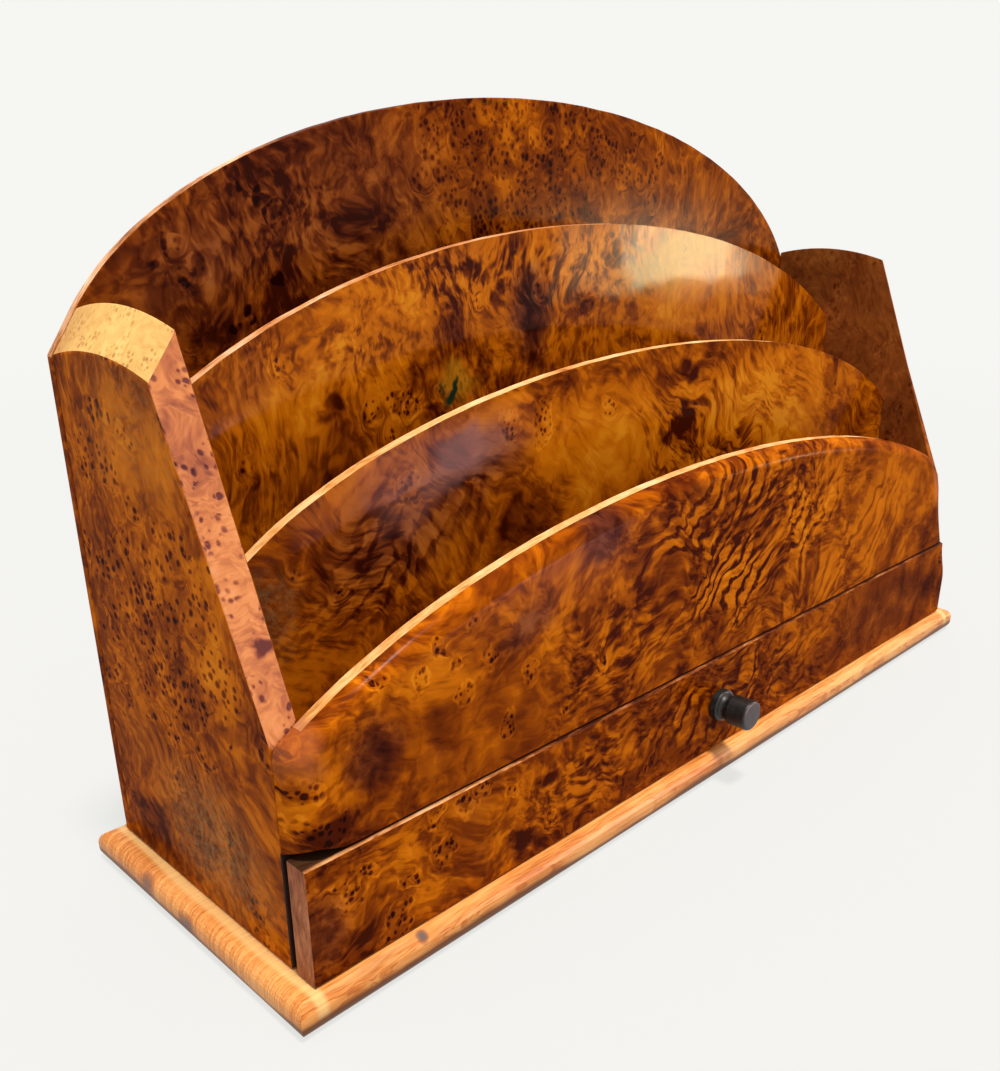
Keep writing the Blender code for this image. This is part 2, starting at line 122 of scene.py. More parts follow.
# Matt paper: shows no shine, only the soft shadow near the rack
floor_look = blank("matt_studio_paper")
tree = floor_look.node_tree
place = add(tree, "TexCoord")
distance = add(tree, "VectorMath", (place.outputs["Object"],), operation='LENGTH').outputs["Value"]
near = add(tree, "MapRange", (distance, SHADOW_FULL, SHADOW_GONE, SHADOW_SHARE, 0.0), **SOFT)
lit = add(tree, "BsdfDiffuse", {"Color": linear("#C8CACC")})
grey = add(tree, "BsdfDiffuse", {"Color": linear("#B4B2AE")})
plain = add(tree, "Emission", {"Color": linear(ROOM_WHITE), "Strength": 1.0})
shown = add(tree, "MixShader", (near, plain, lit))
surface = add(tree, "MixShader", (seen_directly(tree), grey, shown))
add(tree, "OutputMaterial", {"Surface": surface})

floor_mesh = bpy.data.meshes.new("floor")
shape = bmesh.new()
bmesh.ops.create_circle(shape, cap_ends=True, segments=FLOOR_SIDES, radius=FLOOR_REACH)
shape.to_mesh(floor_mesh)
shape.free()
floor_mesh.materials.append(floor_look)
floor = bpy.data.objects.new("floor", floor_mesh)
bpy.context.scene.collection.objects.link(floor)

# Light: an even pale room, one soft box nearly overhead, a little to the front, and a few upright pale
# cards in front, which stand for the wall and the window that the lacquer mirrors.
ROOM_LEVEL = 0.62
KEY_WATTS = 165.0
KEY_SIZE = 0.55
KEY_DISTANCE = 4.0
KEY_DIRECTION = Vector((-0.05, -0.20, 0.98))
KEY_TARGET = Vector((0, 0, 0.1))
world = bpy.data.worlds.new("room")
bpy.context.scene.world = world
world.use_nodes = True
tree = world.node_tree
tree.nodes.clear()
room = add(tree, "Background", {"Color": linear("#F2F5FF"), "Strength": ROOM_LEVEL})
backdrop = add(tree, "Background", {"Color": linear(ROOM_WHITE), "Strength": 1.0})
seen = add(tree, "MixShader", (seen_directly(tree), room, backdrop))
add(tree, "OutputWorld", {"Surface": seen})


def lit_panel(name, place, facing, width, height, watts, colour):
    """A flat lamp that the camera doesn't see. facing points from what it lights to the lamp."""
    lamp = bpy.data.lights.new(name, 'AREA')
    lamp.shape = 'RECTANGLE'
    lamp.size = width
    lamp.size_y = height
    lamp.energy = watts
    lamp.color = linear(colour)[:3]
    made = bpy.data.objects.new(name, lamp)
    made.location = place
    made.rotation_euler = facing.to_track_quat('Z', 'Y').to_euler()
    made.visible_camera = False
    bpy.context.scene.collection.objects.link(made)
    return made


# The key is warm daylight. The cream and mauve cards light nothing: they only show in the lacquer.
key_place = KEY_TARGET + KEY_DIRECTION.normalized() * KEY_DISTANCE
lit_panel("key", key_place, KEY_DIRECTION, KEY_SIZE, KEY_SIZE, KEY_WATTS, "#FFF6E8")
for name, low, high, watts, colour in (
    ("cream_card", (0.45, -0.333, 0.104), (0.61, -0.333, 0.158), 0.98, "#FFF6C6"),
    ("cream_card_edge", (0.37, -0.334, 0.100), (0.655, -0.334, 0.156), 0.62, "#FFF0B8"),
    ("cream_card_low", (0.50, -0.335, 0.086), (0.69, -0.335, 0.150), 0.26, "#FFE0A8"),
    ("mauve_card", (-0.02, -0.20, 0.001), (0.132, -0.20, 0.076), 0.33, "#FFB4BC"),
    ("mauve_card_core", (0.02, -0.201, 0.012), (0.098, -0.201, 0.070), 0.18, "#FFC6CE"),
):
    low, high = Vector(low), Vector(high)
    card = lit_panel(
        name, (low + high) / 2, Vector((0, -1, 0)), high.x - low.x, high.z - low.z, watts, colour
    )
    card.visible_diffuse = False

# Base board: one plain straight-grained thuya board, planed, rounded over on all four edges and rubbed
# with a satin lacquer. The body stands on it, held by four screws from below.
BASE_TONES = ("#8E4C1A", "#D2792E", "#F6AC5E", "#FECC8C")
BASE_STOPS = (0.12, 0.38, 0.6, 0.9)
BASE_RING_MM = 1.7
BASE_PITH = (0.0, 120.0, -70.0)
BASE_STEEP = 0.5
# Painted highlight: a paler strip along the flat top at each end, its distance from the middle and the two
# distances it fades between, in mm
BASE_HIGHLIGHT_STRIP = (166.0, 0.6, 2.4)
HIGHLIGHT_HONEY = "#FFD890"
# Painted shade: the brown that darkens the base round its foot
LOW_SHADE_BROWN = "#6C3608"
# Grey of the knots, and of the painted shade and reflection on the flat top in front of the drawer
KNOT_AND_SHADE_GREY = "#6A5F56"
WOOD_SEED = (1.0, 2.0, 3.0)
BEND_MM = 60.0
BEND_REACH_MM = 4.0
WOBBLE_MM = 5.0
WOBBLE_REACH_MM = 0.5
FIBRE_MM = 0.5
FIBRE_RUN_MM = 9.0
SHADE_MM = 30.0
RING_CHANGE = 0.02
RING_WEIGHT = 0.5
FIBRE_WEIGHT = 0.45
SHADE_WEIGHT = 0.5
WOOD_LEVEL = -0.18
DARK_LINE_AT = 0.47
DARK_LINE_WIDTH = 0.03
DARK_LINE_DEPTH = 0.17
KNOT_HEIGHT_MM = 4.0
KNOT_DARKENING = 0.6
KNOT_GREYING = 1.6
HIGHLIGHT_COVER = 0.6
LOW_SHADE_COVER = 0.95
LOW_SHADE_UNEVEN_MM = 2.0
GRAIN_DEPTH = 0.0002
LACQUER_IOR = 1.5


def in_mm(tree):
    """Places on the piece, in millimetres."""
    place = add(tree, "TexCoord")
    return add(tree, "VectorMath", {0: place.outputs["Object"], "Scale": 1000.0}, operation='SCALE')


def toned(tree, tone, colours, stops):
    """Turns a tone from 0 to 1 into a colour, through hex colours at their stops."""
    made = add(tree, "ValToRGB", (tone,))
    band = made.color_ramp
    while len(band.elements) < len(colours):
        band.elements.new(0.5)
    for element, colour, stop in zip(band.elements, colours, stops):
        element.position = stop
        element.color = linear(colour)
    return made


def stained(tree, colour, cover, stain):
    """Covers a colour by a share with a flat hex colour."""
    return add(tree, "Mix", {0: cover, 6: colour, 7: linear(stain)}, data_type='RGBA').outputs[2]


def warp(tree, place, size, reach, seed, detail):
    """Moves each point by a soft noise of that size, so that straight patterns run in swirls."""
    cloud = add(
        tree, "TexNoise",
        {"Vector": add(tree, "VectorMath", (place, seed), operation='ADD'), "Scale": 1 / size,
         "Detail": detail, "Roughness": 0.5},
    )
    centred = add(tree, "VectorMath", (cloud.outputs["Color"], (0.5, 0.5, 0.5)), operation='SUBTRACT')
    push = add(tree, "VectorMath", {0: centred, "Scale": reach}, operation='SCALE')
    return add(tree, "VectorMath", (place, push), operation='ADD')


def straight_wood(
    name, tones, pith, ring_mm, run='X', knots_and_shade=(), satin=0.42, low_shade=None, pale=None, steep=1.0,
):
    """Straight-grained wood whose growth rings run round a pith line along X or Y, outside the board.
    The knots, which also hold grey painted shade and reflection, are (x, y, z, half x, half y, depth), the
    low shade is the two heights that a painted shade round the foot fades between, and pale is how far from
    the middle a strip of painted highlight lies along X and the two distances it fades between, in mm. A
    steep under 1 stands the rings more upright."""
    look = blank(name)
    tree = look.node_tree
    bent = warp(tree, in_mm(tree), BEND_MM, BEND_REACH_MM, WOOD_SEED, 1.0)
    bent = warp(tree, bent, WOBBLE_MM, WOBBLE_REACH_MM, WOOD_SEED, 2.0)
    parts = add(tree, "SeparateXYZ", (bent,))

    # Growth lines: rings round the pith that change slowly along the board, each with a thin dark line
    lengthwise = run == 'X'
    keep = (0.0, 1.0, steep) if lengthwise else (1.0, 0.0, steep)
    out = add(tree, "VectorMath", (bent, pith), operation='SUBTRACT')
    flat = add(tree, "VectorMath", (out, keep), operation='MULTIPLY')
    radius = add(tree, "VectorMath", (flat,), operation='LENGTH').outputs["Value"]
    length = parts.outputs[0 if lengthwise else 1]
    length = add(tree, "Math", (length, RING_CHANGE), operation='MULTIPLY')
    rings = add(
        tree, "TexNoise",
        {"Vector": add(tree, "CombineXYZ", (radius, length)), "Scale": 1 / ring_mm, "Detail": 4.0,
         "Roughness": 0.7},
    )
    off_line = add(tree, "Math", (rings, DARK_LINE_AT), operation='SUBTRACT')
    off_line = add(tree, "Math", (off_line,), operation='ABSOLUTE')
    thin = add(tree, "MapRange", (off_line, 0.0, DARK_LINE_WIDTH, DARK_LINE_DEPTH, 0.0))

    # Fibres along the grain, drawn 0.5 mm wide since real ones are too fine to show, and broad lighter
    # and darker places
    stretch = (FIBRE_RUN_MM, FIBRE_MM, FIBRE_MM) if lengthwise else (FIBRE_MM, FIBRE_RUN_MM, FIBRE_MM)
    fibre_place = add(tree, "Mapping", {"Vector": bent, "Scale": stretch}, vector_type='TEXTURE')
    fibres = add(tree, "TexNoise", {"Vector": fibre_place, "Scale": 1.0, "Detail": 2.0, "Roughness": 0.6})
    clouds = add(tree, "TexNoise", {"Vector": bent, "Scale": 1 / SHADE_MM, "Detail": 2.0})
    tone = add(tree, "Math", (rings, RING_WEIGHT, WOOD_LEVEL), operation='MULTIPLY_ADD')
    tone = add(tree, "Math", (fibres, FIBRE_WEIGHT, tone), operation='MULTIPLY_ADD')
    tone = add(tree, "Math", (clouds, SHADE_WEIGHT, tone), operation='MULTIPLY_ADD', use_clamp=True)
    tone = add(tree, "Math", (tone, thin), operation='SUBTRACT', use_clamp=True)

    greyed = 0.0
    # Knots darken and grey the wood, and so does the grey painted shade given in the same way
    for x, y, z, half_x, half_y, depth in knots_and_shade:
        knot_place = add(
            tree, "Mapping",
            {"Vector": bent, "Location": (x, y, z), "Scale": (half_x, half_y, KNOT_HEIGHT_MM)},
            vector_type='TEXTURE',
        )
        knot = add(tree, "TexGradient", (knot_place,), gradient_type='SPHERICAL').outputs[1]
        tone = add(
            tree, "Math", (knot, -KNOT_DARKENING * depth, tone), operation='MULTIPLY_ADD', use_clamp=True
        )
        greyed = add(
            tree, "Math", (knot, KNOT_GREYING * depth, greyed), operation='MULTIPLY_ADD', use_clamp=True
        )
    colour = toned(tree, tone, tones, BASE_STOPS)
    if knots_and_shade:
        colour = stained(tree, colour, greyed, KNOT_AND_SHADE_GREY)
    # Painted highlight: a paler strip along X
    if pale:
        middle, full, faded = pale
        off_strip = add(tree, "Math", (parts.outputs[0],), operation='ABSOLUTE')
        off_strip = add(tree, "Math", (off_strip, middle), operation='SUBTRACT')
        off_strip = add(tree, "Math", (off_strip,), operation='ABSOLUTE')
        strip = add(tree, "MapRange", (off_strip, full, faded, HIGHLIGHT_COVER, 0.0), **SOFT)
        colour = stained(tree, colour, strip, HIGHLIGHT_HONEY)
    # Painted shade: darker towards the bottom, with an uneven upper edge
    if low_shade:
        height = add(
            tree, "Math", (clouds, LOW_SHADE_UNEVEN_MM, parts.outputs[2]), operation='MULTIPLY_ADD'
        )
        painted_shade = add(tree, "MapRange", (height, *low_shade, LOW_SHADE_COVER, 0.0), **SOFT)
        colour = stained(tree, colour, painted_shade, LOW_SHADE_BROWN)
    bump = add(tree, "Bump", {"Strength": 0.15, "Distance": GRAIN_DEPTH, "Height": fibres})
    shader = add(
        tree, "BsdfPrincipled",
        {"Base Color": colour, "Roughness": satin, "IOR": LACQUER_IOR, "Specular IOR Level": 0.3,
         "Normal": bump},
    )
    add(tree, "OutputMaterial", {"Surface": shader})
    return look


def dressed(names, look):
    """Gives CAD nodes their finish."""
    for name in names:
        nodes[name].data.materials.clear()
        nodes[name].data.materials.append(look)


# Satin straight thuya: honey-coloured growth lines that run along the top and front and stand out on the
# ends, under a soft broad shine, with brown painted shade round the foot. Real growth lines are about 0.5 mm
# apart, too fine to show, so they are drawn 1.7 mm apart.
BASE_LOW_SHADE = (3.5, 5.2)
BASE_KNOTS_AND_SHADE = (
    (-171.2, 23.0, 5.0, 2.4, 4.6, 0.55),
    (-171.6, 1.5, 4.0, 2.4, 5.0, 0.55),
    (-134.0, -49.6, 8.0, 2.0, 2.0, 0.8),
    # Painted shade and reflection: a long grey band on the flat top in front of the drawer front
    (-148.0, -49.0, 9.0, 22.0, 2.0, 0.2),
)
base_look = straight_wood(
    "satin_straight_thuya", BASE_TONES, BASE_PITH, BASE_RING_MM, knots_and_shade=BASE_KNOTS_AND_SHADE, low_shade=BASE_LOW_SHADE,
    pale=BASE_HIGHLIGHT_STRIP, steep=BASE_STEEP,
)
dressed(["base"], base_look)

# Burl for all the boards above the base: thuya burl, sawn from the root, sanded and lacquered until it
# shines. Its grain swirls from amber to red-brown, and it has groups of small dark eyes, each the start
# of a bud, and plum-brown clouds where the wood is oily. The hair lines of real burl are about 0.2 mm
# wide, too fine to show, so they are drawn 0.9 mm wide.
AMBER = ("#240501", "#521903", "#833804", "#B05605", "#D97509", "#F2961C")
PLUM = ("#1B0706", "#45190F", "#6E3420", "#9A5A3C")
STOPS = (0.0, 0.22, 0.46, 0.66, 0.84, 1.0)
PLUM_STOPS = (0.0, 0.35, 0.7, 1.0)
# Stains: the haze is a grey painted sheen and the mauve a painted reflection; pink, green and black are the
# wood's own
STAINS = {
    'painted_sheen': "#A08456", 'pink': "#A65C38", 'mauve_reflection': "#AC766C", 'green': "#B4861E", 'black': "#1E3420",
}
# Grain: the swirls that bend it, the noises it is made of, and how waved the lacquer over it is
SWIRL_MM = 46.0
SWIRL_REACH_MM = 34.0
CURL_MM = 13.0
CURL_REACH_MM = 9.0
CLOUD_MM = 17.0
BROAD_MM = 34.0
HAIR_MM = 0.9
HAIR_RUN_MM = 7.0
FLAME_MM = 20.0
FLAME_LEAN = 42.0
WAVE_MM = 14.0
WAVE_SHARE = 6.0
OILY_SLOPE = -2.4
OILY_START = 0.8
# Marks: their ragged edges, how deep they go through the board, their full core, and the specks of the grey
# painted sheen
RAGGED_MM = 9.0
RAGGED_REACH_MM = 12.0
THROUGH_MM = 400.0
MARK_CORE = 0.7
SPECK_MM = 1.6
# Eyes: how the groups are bent, crowded and sized, where their parts begin and end, and how far they
# push the grain
EYE_WARP_MM = 13.0
EYE_WARP_REACH_MM = 4.0
CROWD_MM = 30.0
CROWD_NONE = 1.02
CROWD_RANGE = 0.62
CROWD_FADE = 0.04
CROWD_OWN = 0.4
SMALLEST_GROUP = 1.4
GROUP_SPREAD = 0.7
CORE_SHARE = 0.7
DOT_SPREAD = 0.3
DOT_EDGE = (0.5, 0.26)
NET_EDGE = (0.4, 0.65)
RING_AT = 1.2
RING_WIDTH = 0.3
HALO_OUTER = (0.0, 0.2)
HALO_INNER = (0.7, 0.25)
PUSH_GONE = 2.4
PUSH_FULL = 0.5
PUSH_SHARE = 1.6
EYE_PUSH_MM = 3.0
# Tone: what the eyes' surroundings add to it, and how both ends of its range are held back
EYE_RING = 0.05
EYE_NET = 0.05
EYE_HALO = 0.11
DARKEST = 0.13
KNEE = 0.76
KNEE_LOSS = 0.55
# The range of a noise, and the range that it is turned into
STREAK_SWING = (0.36, 0.62, -0.55, 0.45)
FLAME_SWING = (0.04, 0.46, -0.78, 0.22)
FLAME_BREAKS = (0.36, 0.56, 0.0, 1.5)
SPECK_SWING = (0.28, 0.78, 0.0, 1.8)


def plane_axes(normal):
    """The numbers of the two axes that a board lies along."""
    return [axis for axis in range(3) if 'XYZ'[axis] != normal]


def tilted(normal, degrees):
    """A turn within a board's plane."""
    return tuple(math.radians(degrees) if axis == normal else 0.0 for axis in 'XYZ')


def placed_marks(tree, ragged, normal, marks):
    """The strength of each kind of mark, from all the soft-edged patches of that kind."""
    along, up = plane_axes(normal)
    piles = {}
    for kind, u, v, half_u, half_v, turned, strength in marks:
        spot = [0.0, 0.0, 0.0]
        sizes = [THROUGH_MM, THROUGH_MM, THROUGH_MM]
        spot[along], spot[up] = u, v
        sizes[along], sizes[up] = half_u, half_v
        spot_place = add(
            tree, "Mapping",
            {"Vector": ragged, "Location": spot, "Rotation": tilted(normal, turned), "Scale": sizes},
            vector_type='TEXTURE',
        )
        cone = add(tree, "TexGradient", (spot_place,), gradient_type='SPHERICAL').outputs[1]
        mark = add(tree, "MapRange", (cone, 0.0, MARK_CORE, 0.0, strength), **SOFT)
        if kind in piles:
            mark = add(tree, "Math", (piles[kind], mark), operation='ADD')
        piles[kind] = mark
    return piles


def eye_groups(tree, mm, seed, normal, groups, piles):
    """Small groups of dark dots. Gives the dots, the wood between them, a pale ring round each group, the
    halo round each placed one, and how far the groups push the grain, in mm."""
    along, up = plane_axes(normal)
    spacing, size, share, dot_mm, stretch = groups
    bent = warp(tree, mm, EYE_WARP_MM, EYE_WARP_REACH_MM, seed, 3.0)
    parts = add(tree, "SeparateXYZ", (bent,))
    height = add(tree, "Math", (parts.outputs[up], stretch), operation='DIVIDE')
    stood = add(tree, "CombineXYZ", (parts.outputs[along], height, seed[0]))

    def scattered(apart):
        """Points scattered over the board, about that far apart in mm."""
        return add(
            tree, "TexVoronoi", {"Vector": stood, "Scale": 1 / apart, "Randomness": 1.0},
            voronoi_dimensions='2D',
        )

    # Each group has a size of its own, and more of them are kept where a soft noise or a knot crowds them
    cells = scattered(spacing)
    own = add(tree, "SeparateColor", (cells.outputs["Color"],))
    growth = add(
        tree, "Math", (own, -GROUP_SPREAD * spacing, SMALLEST_GROUP * spacing), operation='MULTIPLY_ADD'
    )
    away = add(tree, "Math", (cells.outputs["Distance"], growth), operation='MULTIPLY')
    crowd = add(
        tree, "TexNoise", {"Vector": cells.outputs["Position"], "Scale": 1 / CROWD_MM, "Detail": 1.0}
    )
    crowd = add(tree, "Math", (own.outputs[1], CROWD_OWN, crowd), operation='MULTIPLY_ADD')
    if 'knot' in piles:
        crowd = add(tree, "Math", (crowd, piles['knot']), operation='ADD')
    least = CROWD_NONE - CROWD_RANGE * share
    kept = add(tree, "MapRange", (crowd, least, least + CROWD_FADE), **SOFT)
    core = add(tree, "MapRange", (away, size, size * CORE_SHARE), **SOFT)
    inside = add(tree, "Math", (core, kept), operation='MULTIPLY')
    if 'eye' in piles:
        inside = add(tree, "Math", (inside, piles['eye']), operation='MAXIMUM')

    # The dots and what surrounds them
    dots = scattered(dot_mm)
    dot_own = add(tree, "SeparateColor", (dots.outputs["Color"],))
    far = add(tree, "Math", (dot_own, DOT_SPREAD, dots.outputs["Distance"]), operation='MULTIPLY_ADD')
    dot = add(tree, "MapRange", (far, *DOT_EDGE), **SOFT)
    dot = add(tree, "Math", (dot, inside), operation='MULTIPLY')
    net = add(tree, "MapRange", (far, *NET_EDGE), **SOFT)
    net = add(tree, "Math", (net, inside), operation='MULTIPLY')
    off_ring = add(tree, "Math", (away, size * RING_AT), operation='SUBTRACT')
    off_ring = add(tree, "Math", (off_ring,), operation='ABSOLUTE')
    ring = add(tree, "MapRange", (off_ring, size * RING_WIDTH, 0.0), **SOFT)
    ring = add(tree, "Math", (ring, kept), operation='MULTIPLY')
    push = add(
        tree, "MapRange", (away, size * PUSH_GONE, size * PUSH_FULL, 0.0, size * PUSH_SHARE), **SOFT
    )
    push = add(tree, "Math", (push, kept), operation='MULTIPLY')
    halo = 0.0
    if 'eye' in piles:
        push = add(tree, "Math", (piles['eye'], EYE_PUSH_MM, push), operation='MULTIPLY_ADD')
        outer = add(tree, "MapRange", (piles['eye'], *HALO_OUTER), **SOFT)
        inner = add(tree, "MapRange", (piles['eye'], *HALO_INNER), **SOFT)
        halo = add(tree, "Math", (outer, inner), operation='MULTIPLY')
    return dot, net, ring, halo, push


def grain_tone(tree, curled, push, seed, normal, lean, band, fleck_mm, weights, level, piles):
    """The tone of the wood before its eyes, and the hair lines, which the lacquer's surface follows."""
    raised = add(
        tree, "VectorMath", (curled, add(tree, "CombineXYZ", {0: push, 2: push})), operation='ADD'
    )

    def drawn(long, wide):
        """Streaks of that length and width, drawn through the swirled places."""
        drawn_place = add(
            tree, "Mapping",
            {"Vector": raised, "Location": seed, "Rotation": tilted(normal, lean),
             "Scale": (long, long, wide)},
            vector_type='TEXTURE',
        )
        return add(tree, "TexNoise", {"Vector": drawn_place, "Scale": 1.0, "Detail": 2.0, "Roughness": 0.6})

    streaks = drawn(*band)
    hair = drawn(HAIR_RUN_MM, HAIR_MM)
    flecks = add(
        tree, "TexNoise",
        {"Vector": raised, "Scale": 1 / fleck_mm, "Detail": 2.5, "Roughness": 0.52, "Distortion": 1.1},
    )
    clouds = add(
        tree, "TexNoise", {"Vector": curled, "Scale": 1 / CLOUD_MM, "Detail": 2.0, "Roughness": 0.55}
    )
    cloud_weight, fleck_weight, streak_weight, hair_weight = weights
    start = 0.5 - (cloud_weight + fleck_weight + hair_weight) / 2 + level
    tone = add(tree, "Math", (clouds, cloud_weight, start), operation='MULTIPLY_ADD')
    tone = add(tree, "Math", (flecks, fleck_weight, tone), operation='MULTIPLY_ADD')
    tone = add(tree, "Math", (hair, hair_weight, tone), operation='MULTIPLY_ADD')
    if 'streak' in piles:
        busy = add(tree, "Math", (flecks, 0.5), operation='SUBTRACT')
        tone = add(tree, "Math", (busy, piles['streak'], tone), operation='MULTIPLY_ADD')
        streak_weight = add(tree, "Math", (piles['streak'], streak_weight), operation='ADD')
    swing = add(tree, "MapRange", (streaks, *STREAK_SWING), **SOFT)
    tone = add(tree, "Math", (swing, streak_weight, tone), operation='MULTIPLY_ADD')
    if 'flame' in piles:
        flame_place = add(
            tree, "Mapping",
            {"Vector": raised, "Rotation": tilted(normal, FLAME_LEAN), "Scale": (FLAME_MM,) * 3},
            vector_type='TEXTURE',
        )
        flame = add(
            tree, "TexWave",
            {"Vector": flame_place, "Scale": 1.0, "Distortion": 8.0, "Detail": 3.0, "Detail Scale": 1.6},
        )
        bold = add(tree, "MapRange", (flame.outputs[1], *FLAME_SWING), **SOFT)
        broken = add(tree, "MapRange", (clouds, *FLAME_BREAKS), **SOFT)
        bold = add(tree, "Math", (bold, broken), operation='MULTIPLY')
        tone = add(tree, "Math", (bold, piles['flame'], tone), operation='MULTIPLY_ADD')
    for kind, operation in (('gold', 'ADD'), ('dark', 'SUBTRACT')):
        if kind in piles:
            tone = add(tree, "Math", (tone, piles[kind]), operation=operation)
    tone = add(tree, "Math", (tone, DARKEST), operation='MAXIMUM')
    over = add(tree, "Math", (tone, KNEE), operation='SUBTRACT')
    over = add(tree, "Math", (over, 0.0), operation='MAXIMUM')
    return add(tree, "Math", (over, -KNEE_LOSS, tone), operation='MULTIPLY_ADD'), hair


def burl(
    name, seed, weights, eyes, normal='Y', lean=0.0, band=(6.0, 2.4), tones=AMBER, level=0.0,
    gloss=(0.05, 0.2), fleck_mm=5.0, marks=(),
):
    """Lacquered burl. weights are those of clouds, flecks, streaks and hair lines. eyes are the groups'
    spacing, radius and share, the dots' spacing in them, their stretch and darkness. band is a streak's
    length and width. gloss is the coat's weight and roughness. marks are (kind, along, up, half length,
    half height, lean, strength). Lengths are in mm."""
    look = blank(name)
    tree = look.node_tree
    mm = in_mm(tree)
    swirled = warp(tree, mm, SWIRL_MM, SWIRL_REACH_MM, seed, 1.0)
    curled = warp(tree, swirled, CURL_MM, CURL_REACH_MM, seed, 2.0)
    ragged = warp(tree, mm, RAGGED_MM, RAGGED_REACH_MM, seed, 3.0)
    piles = placed_marks(tree, ragged, normal, marks)
    dot, net, ring, halo, push = eye_groups(tree, mm, seed, normal, eyes[:-1], piles)
    tone, hair = grain_tone(tree, curled, push, seed, normal, lean, band, fleck_mm, weights, level, piles)
    tone = add(tree, "Math", (ring, EYE_RING, tone), operation='MULTIPLY_ADD')
    tone = add(tree, "Math", (net, EYE_NET, tone), operation='MULTIPLY_ADD')
    tone = add(tree, "Math", (halo, EYE_HALO, tone), operation='MULTIPLY_ADD')
    if 'spot' in piles:
        tone = add(tree, "Math", (tone, piles['spot']), operation='SUBTRACT')
    tone = add(tree, "Math", (dot, -eyes[-1], tone), operation='MULTIPLY_ADD', use_clamp=True)

    # Colour: amber, plum in some broad places, and stains where the board has them
    broad = add(tree, "TexNoise", {"Vector": ragged, "Scale": 1 / BROAD_MM, "Detail": 1.0})
    oily = add(tree, "Math", (broad, OILY_SLOPE, OILY_START), operation='MULTIPLY_ADD', use_clamp=True)
    if 'plum' in piles:
        oily = add(tree, "Math", (oily, piles['plum']), operation='ADD', use_clamp=True)
    amber = toned(tree, tone, tones, STOPS)
    plum = toned(tree, tone, PLUM, PLUM_STOPS)
    colour = add(tree, "Mix", {0: oily, 6: amber, 7: plum}, data_type='RGBA').outputs[2]
    # Grey painted sheen, broken into specks
    if 'painted_sheen' in piles:
        specks = add(
            tree, "TexNoise", {"Vector": mm, "Scale": 1 / SPECK_MM, "Detail": 3.0, "Roughness": 0.75}
        )
        speckled = add(tree, "MapRange", (specks, *SPECK_SWING), **SOFT)
        piles['painted_sheen'] = add(tree, "Math", (piles['painted_sheen'], speckled), operation='MULTIPLY', use_clamp=True)
    for kind, stain in STAINS.items():
        if kind in piles:
            cover = add(tree, "Math", (piles[kind], 1.0), operation='MINIMUM')
            colour = stained(tree, colour, cover, stain)

    # Lacquer: a thin clear coat that follows the wood's slight waves
    waves = add(tree, "TexNoise", {"Vector": mm, "Scale": 1 / WAVE_MM, "Detail": 1.0})
    relief = add(tree, "Math", (waves, WAVE_SHARE, hair), operation='MULTIPLY_ADD')
    bump = add(tree, "Bump", {"Strength": 0.08, "Distance": GRAIN_DEPTH, "Height": relief})
    shader = add(
        tree, "BsdfPrincipled",
        {"Base Color": colour, "Roughness": 0.45, "IOR": LACQUER_IOR, "Specular IOR Level": 0.0,
         "Coat Weight": gloss[0], "Coat Roughness": gloss[1], "Coat IOR": LACQUER_IOR,
         "Normal": bump, "Coat Normal": bump},
    )
    add(tree, "OutputMaterial", {"Surface": shader})
    return look


# Side boards: two thick burl boards, screwed up from the base. Above the front panel the front edge
# slopes back, the top is crowned, and both are planed down towards the outside, so they show the paler
# wood close under the bark.
SIDE_INNER = 0.1575
SIDE_OUTER = 0.165
SIDE_FRONT = -0.03835
SIDE_DEPTH = 0.0815
SLOPE_SETBACK = 0.0334
BEVEL_SETBACK = 0.0009
TOP_FALL = 0.0008
TOP_DROP = 0.0106
TOP_CROWN = 0.0031
TOP_STEPS = 24
SIDE_ARRIS = 0.0005
PANEL_FOOT = 0.0424
BASE_TOP = 0.009
BACK_ARCH = (0.199, 0.0782, 0.16655)
FRONT_ARCH = (0.0969, 0.068, 0.18546)
GAP_FACING = -0.3
SLOPE_FACING = -0.45
SLOPE_FOOT = 0.071
BEVEL_FACING = 0.1
TOP_FACING = 0.4
INSIDE_FACING = -0.3
ARRIS_STEPS = 4
SHARP_DEGREES = 24
SMOOTH_DEGREES = 35


def rounded(shape, width):
    """Rounds over every sharp edge of a shape by a width."""
    bmesh.ops.recalc_face_normals(shape, faces=shape.faces)
    sharp = [
        edge for edge in shape.edges
        if len(edge.link_faces) == 2 and edge.calc_face_angle() > math.radians(SHARP_DEGREES)
    ]
    bmesh.ops.bevel(
        shape, geom=sharp, offset=width, offset_type='OFFSET', segments=ARRIS_STEPS, profile=0.5,
        affect='EDGES', clamp_overlap=True,
    )


def finished(name, shape, looks, body, stands_for, choose=None):
    """Makes a shape into a shown piece that rides with its body. choose picks each face's material."""
    bmesh.ops.recalc_face_normals(shape, faces=shape.faces)
    shape.normal_update()
    if choose:
        for face in shape.faces:
            face.material_index = choose(face.normal, face.calc_center_median())
    mesh = bpy.data.meshes.new(name)
    shape.to_mesh(mesh)
    shape.free()
    for look in looks:
        mesh.materials.append(look)
    mesh.shade_smooth()
    mesh.set_sharp_from_angle(angle=math.radians(SMOOTH_DEGREES))
    made = bpy.data.objects.new(name, mesh)
    bpy.context.scene.collection.objects.link(made)
    level = made.modifiers.new("level_faces", 'WEIGHTED_NORMAL')
    level.keep_sharp = True
    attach(made, body)
    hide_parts(stands_for)


def arch_top(x, peak, rise, half_span):
    """Height of an elliptic arch, given as its peak over the base, rise and half span."""
    return BASE_TOP + peak - rise + rise * math.sqrt(1 - (x / half_span) ** 2)


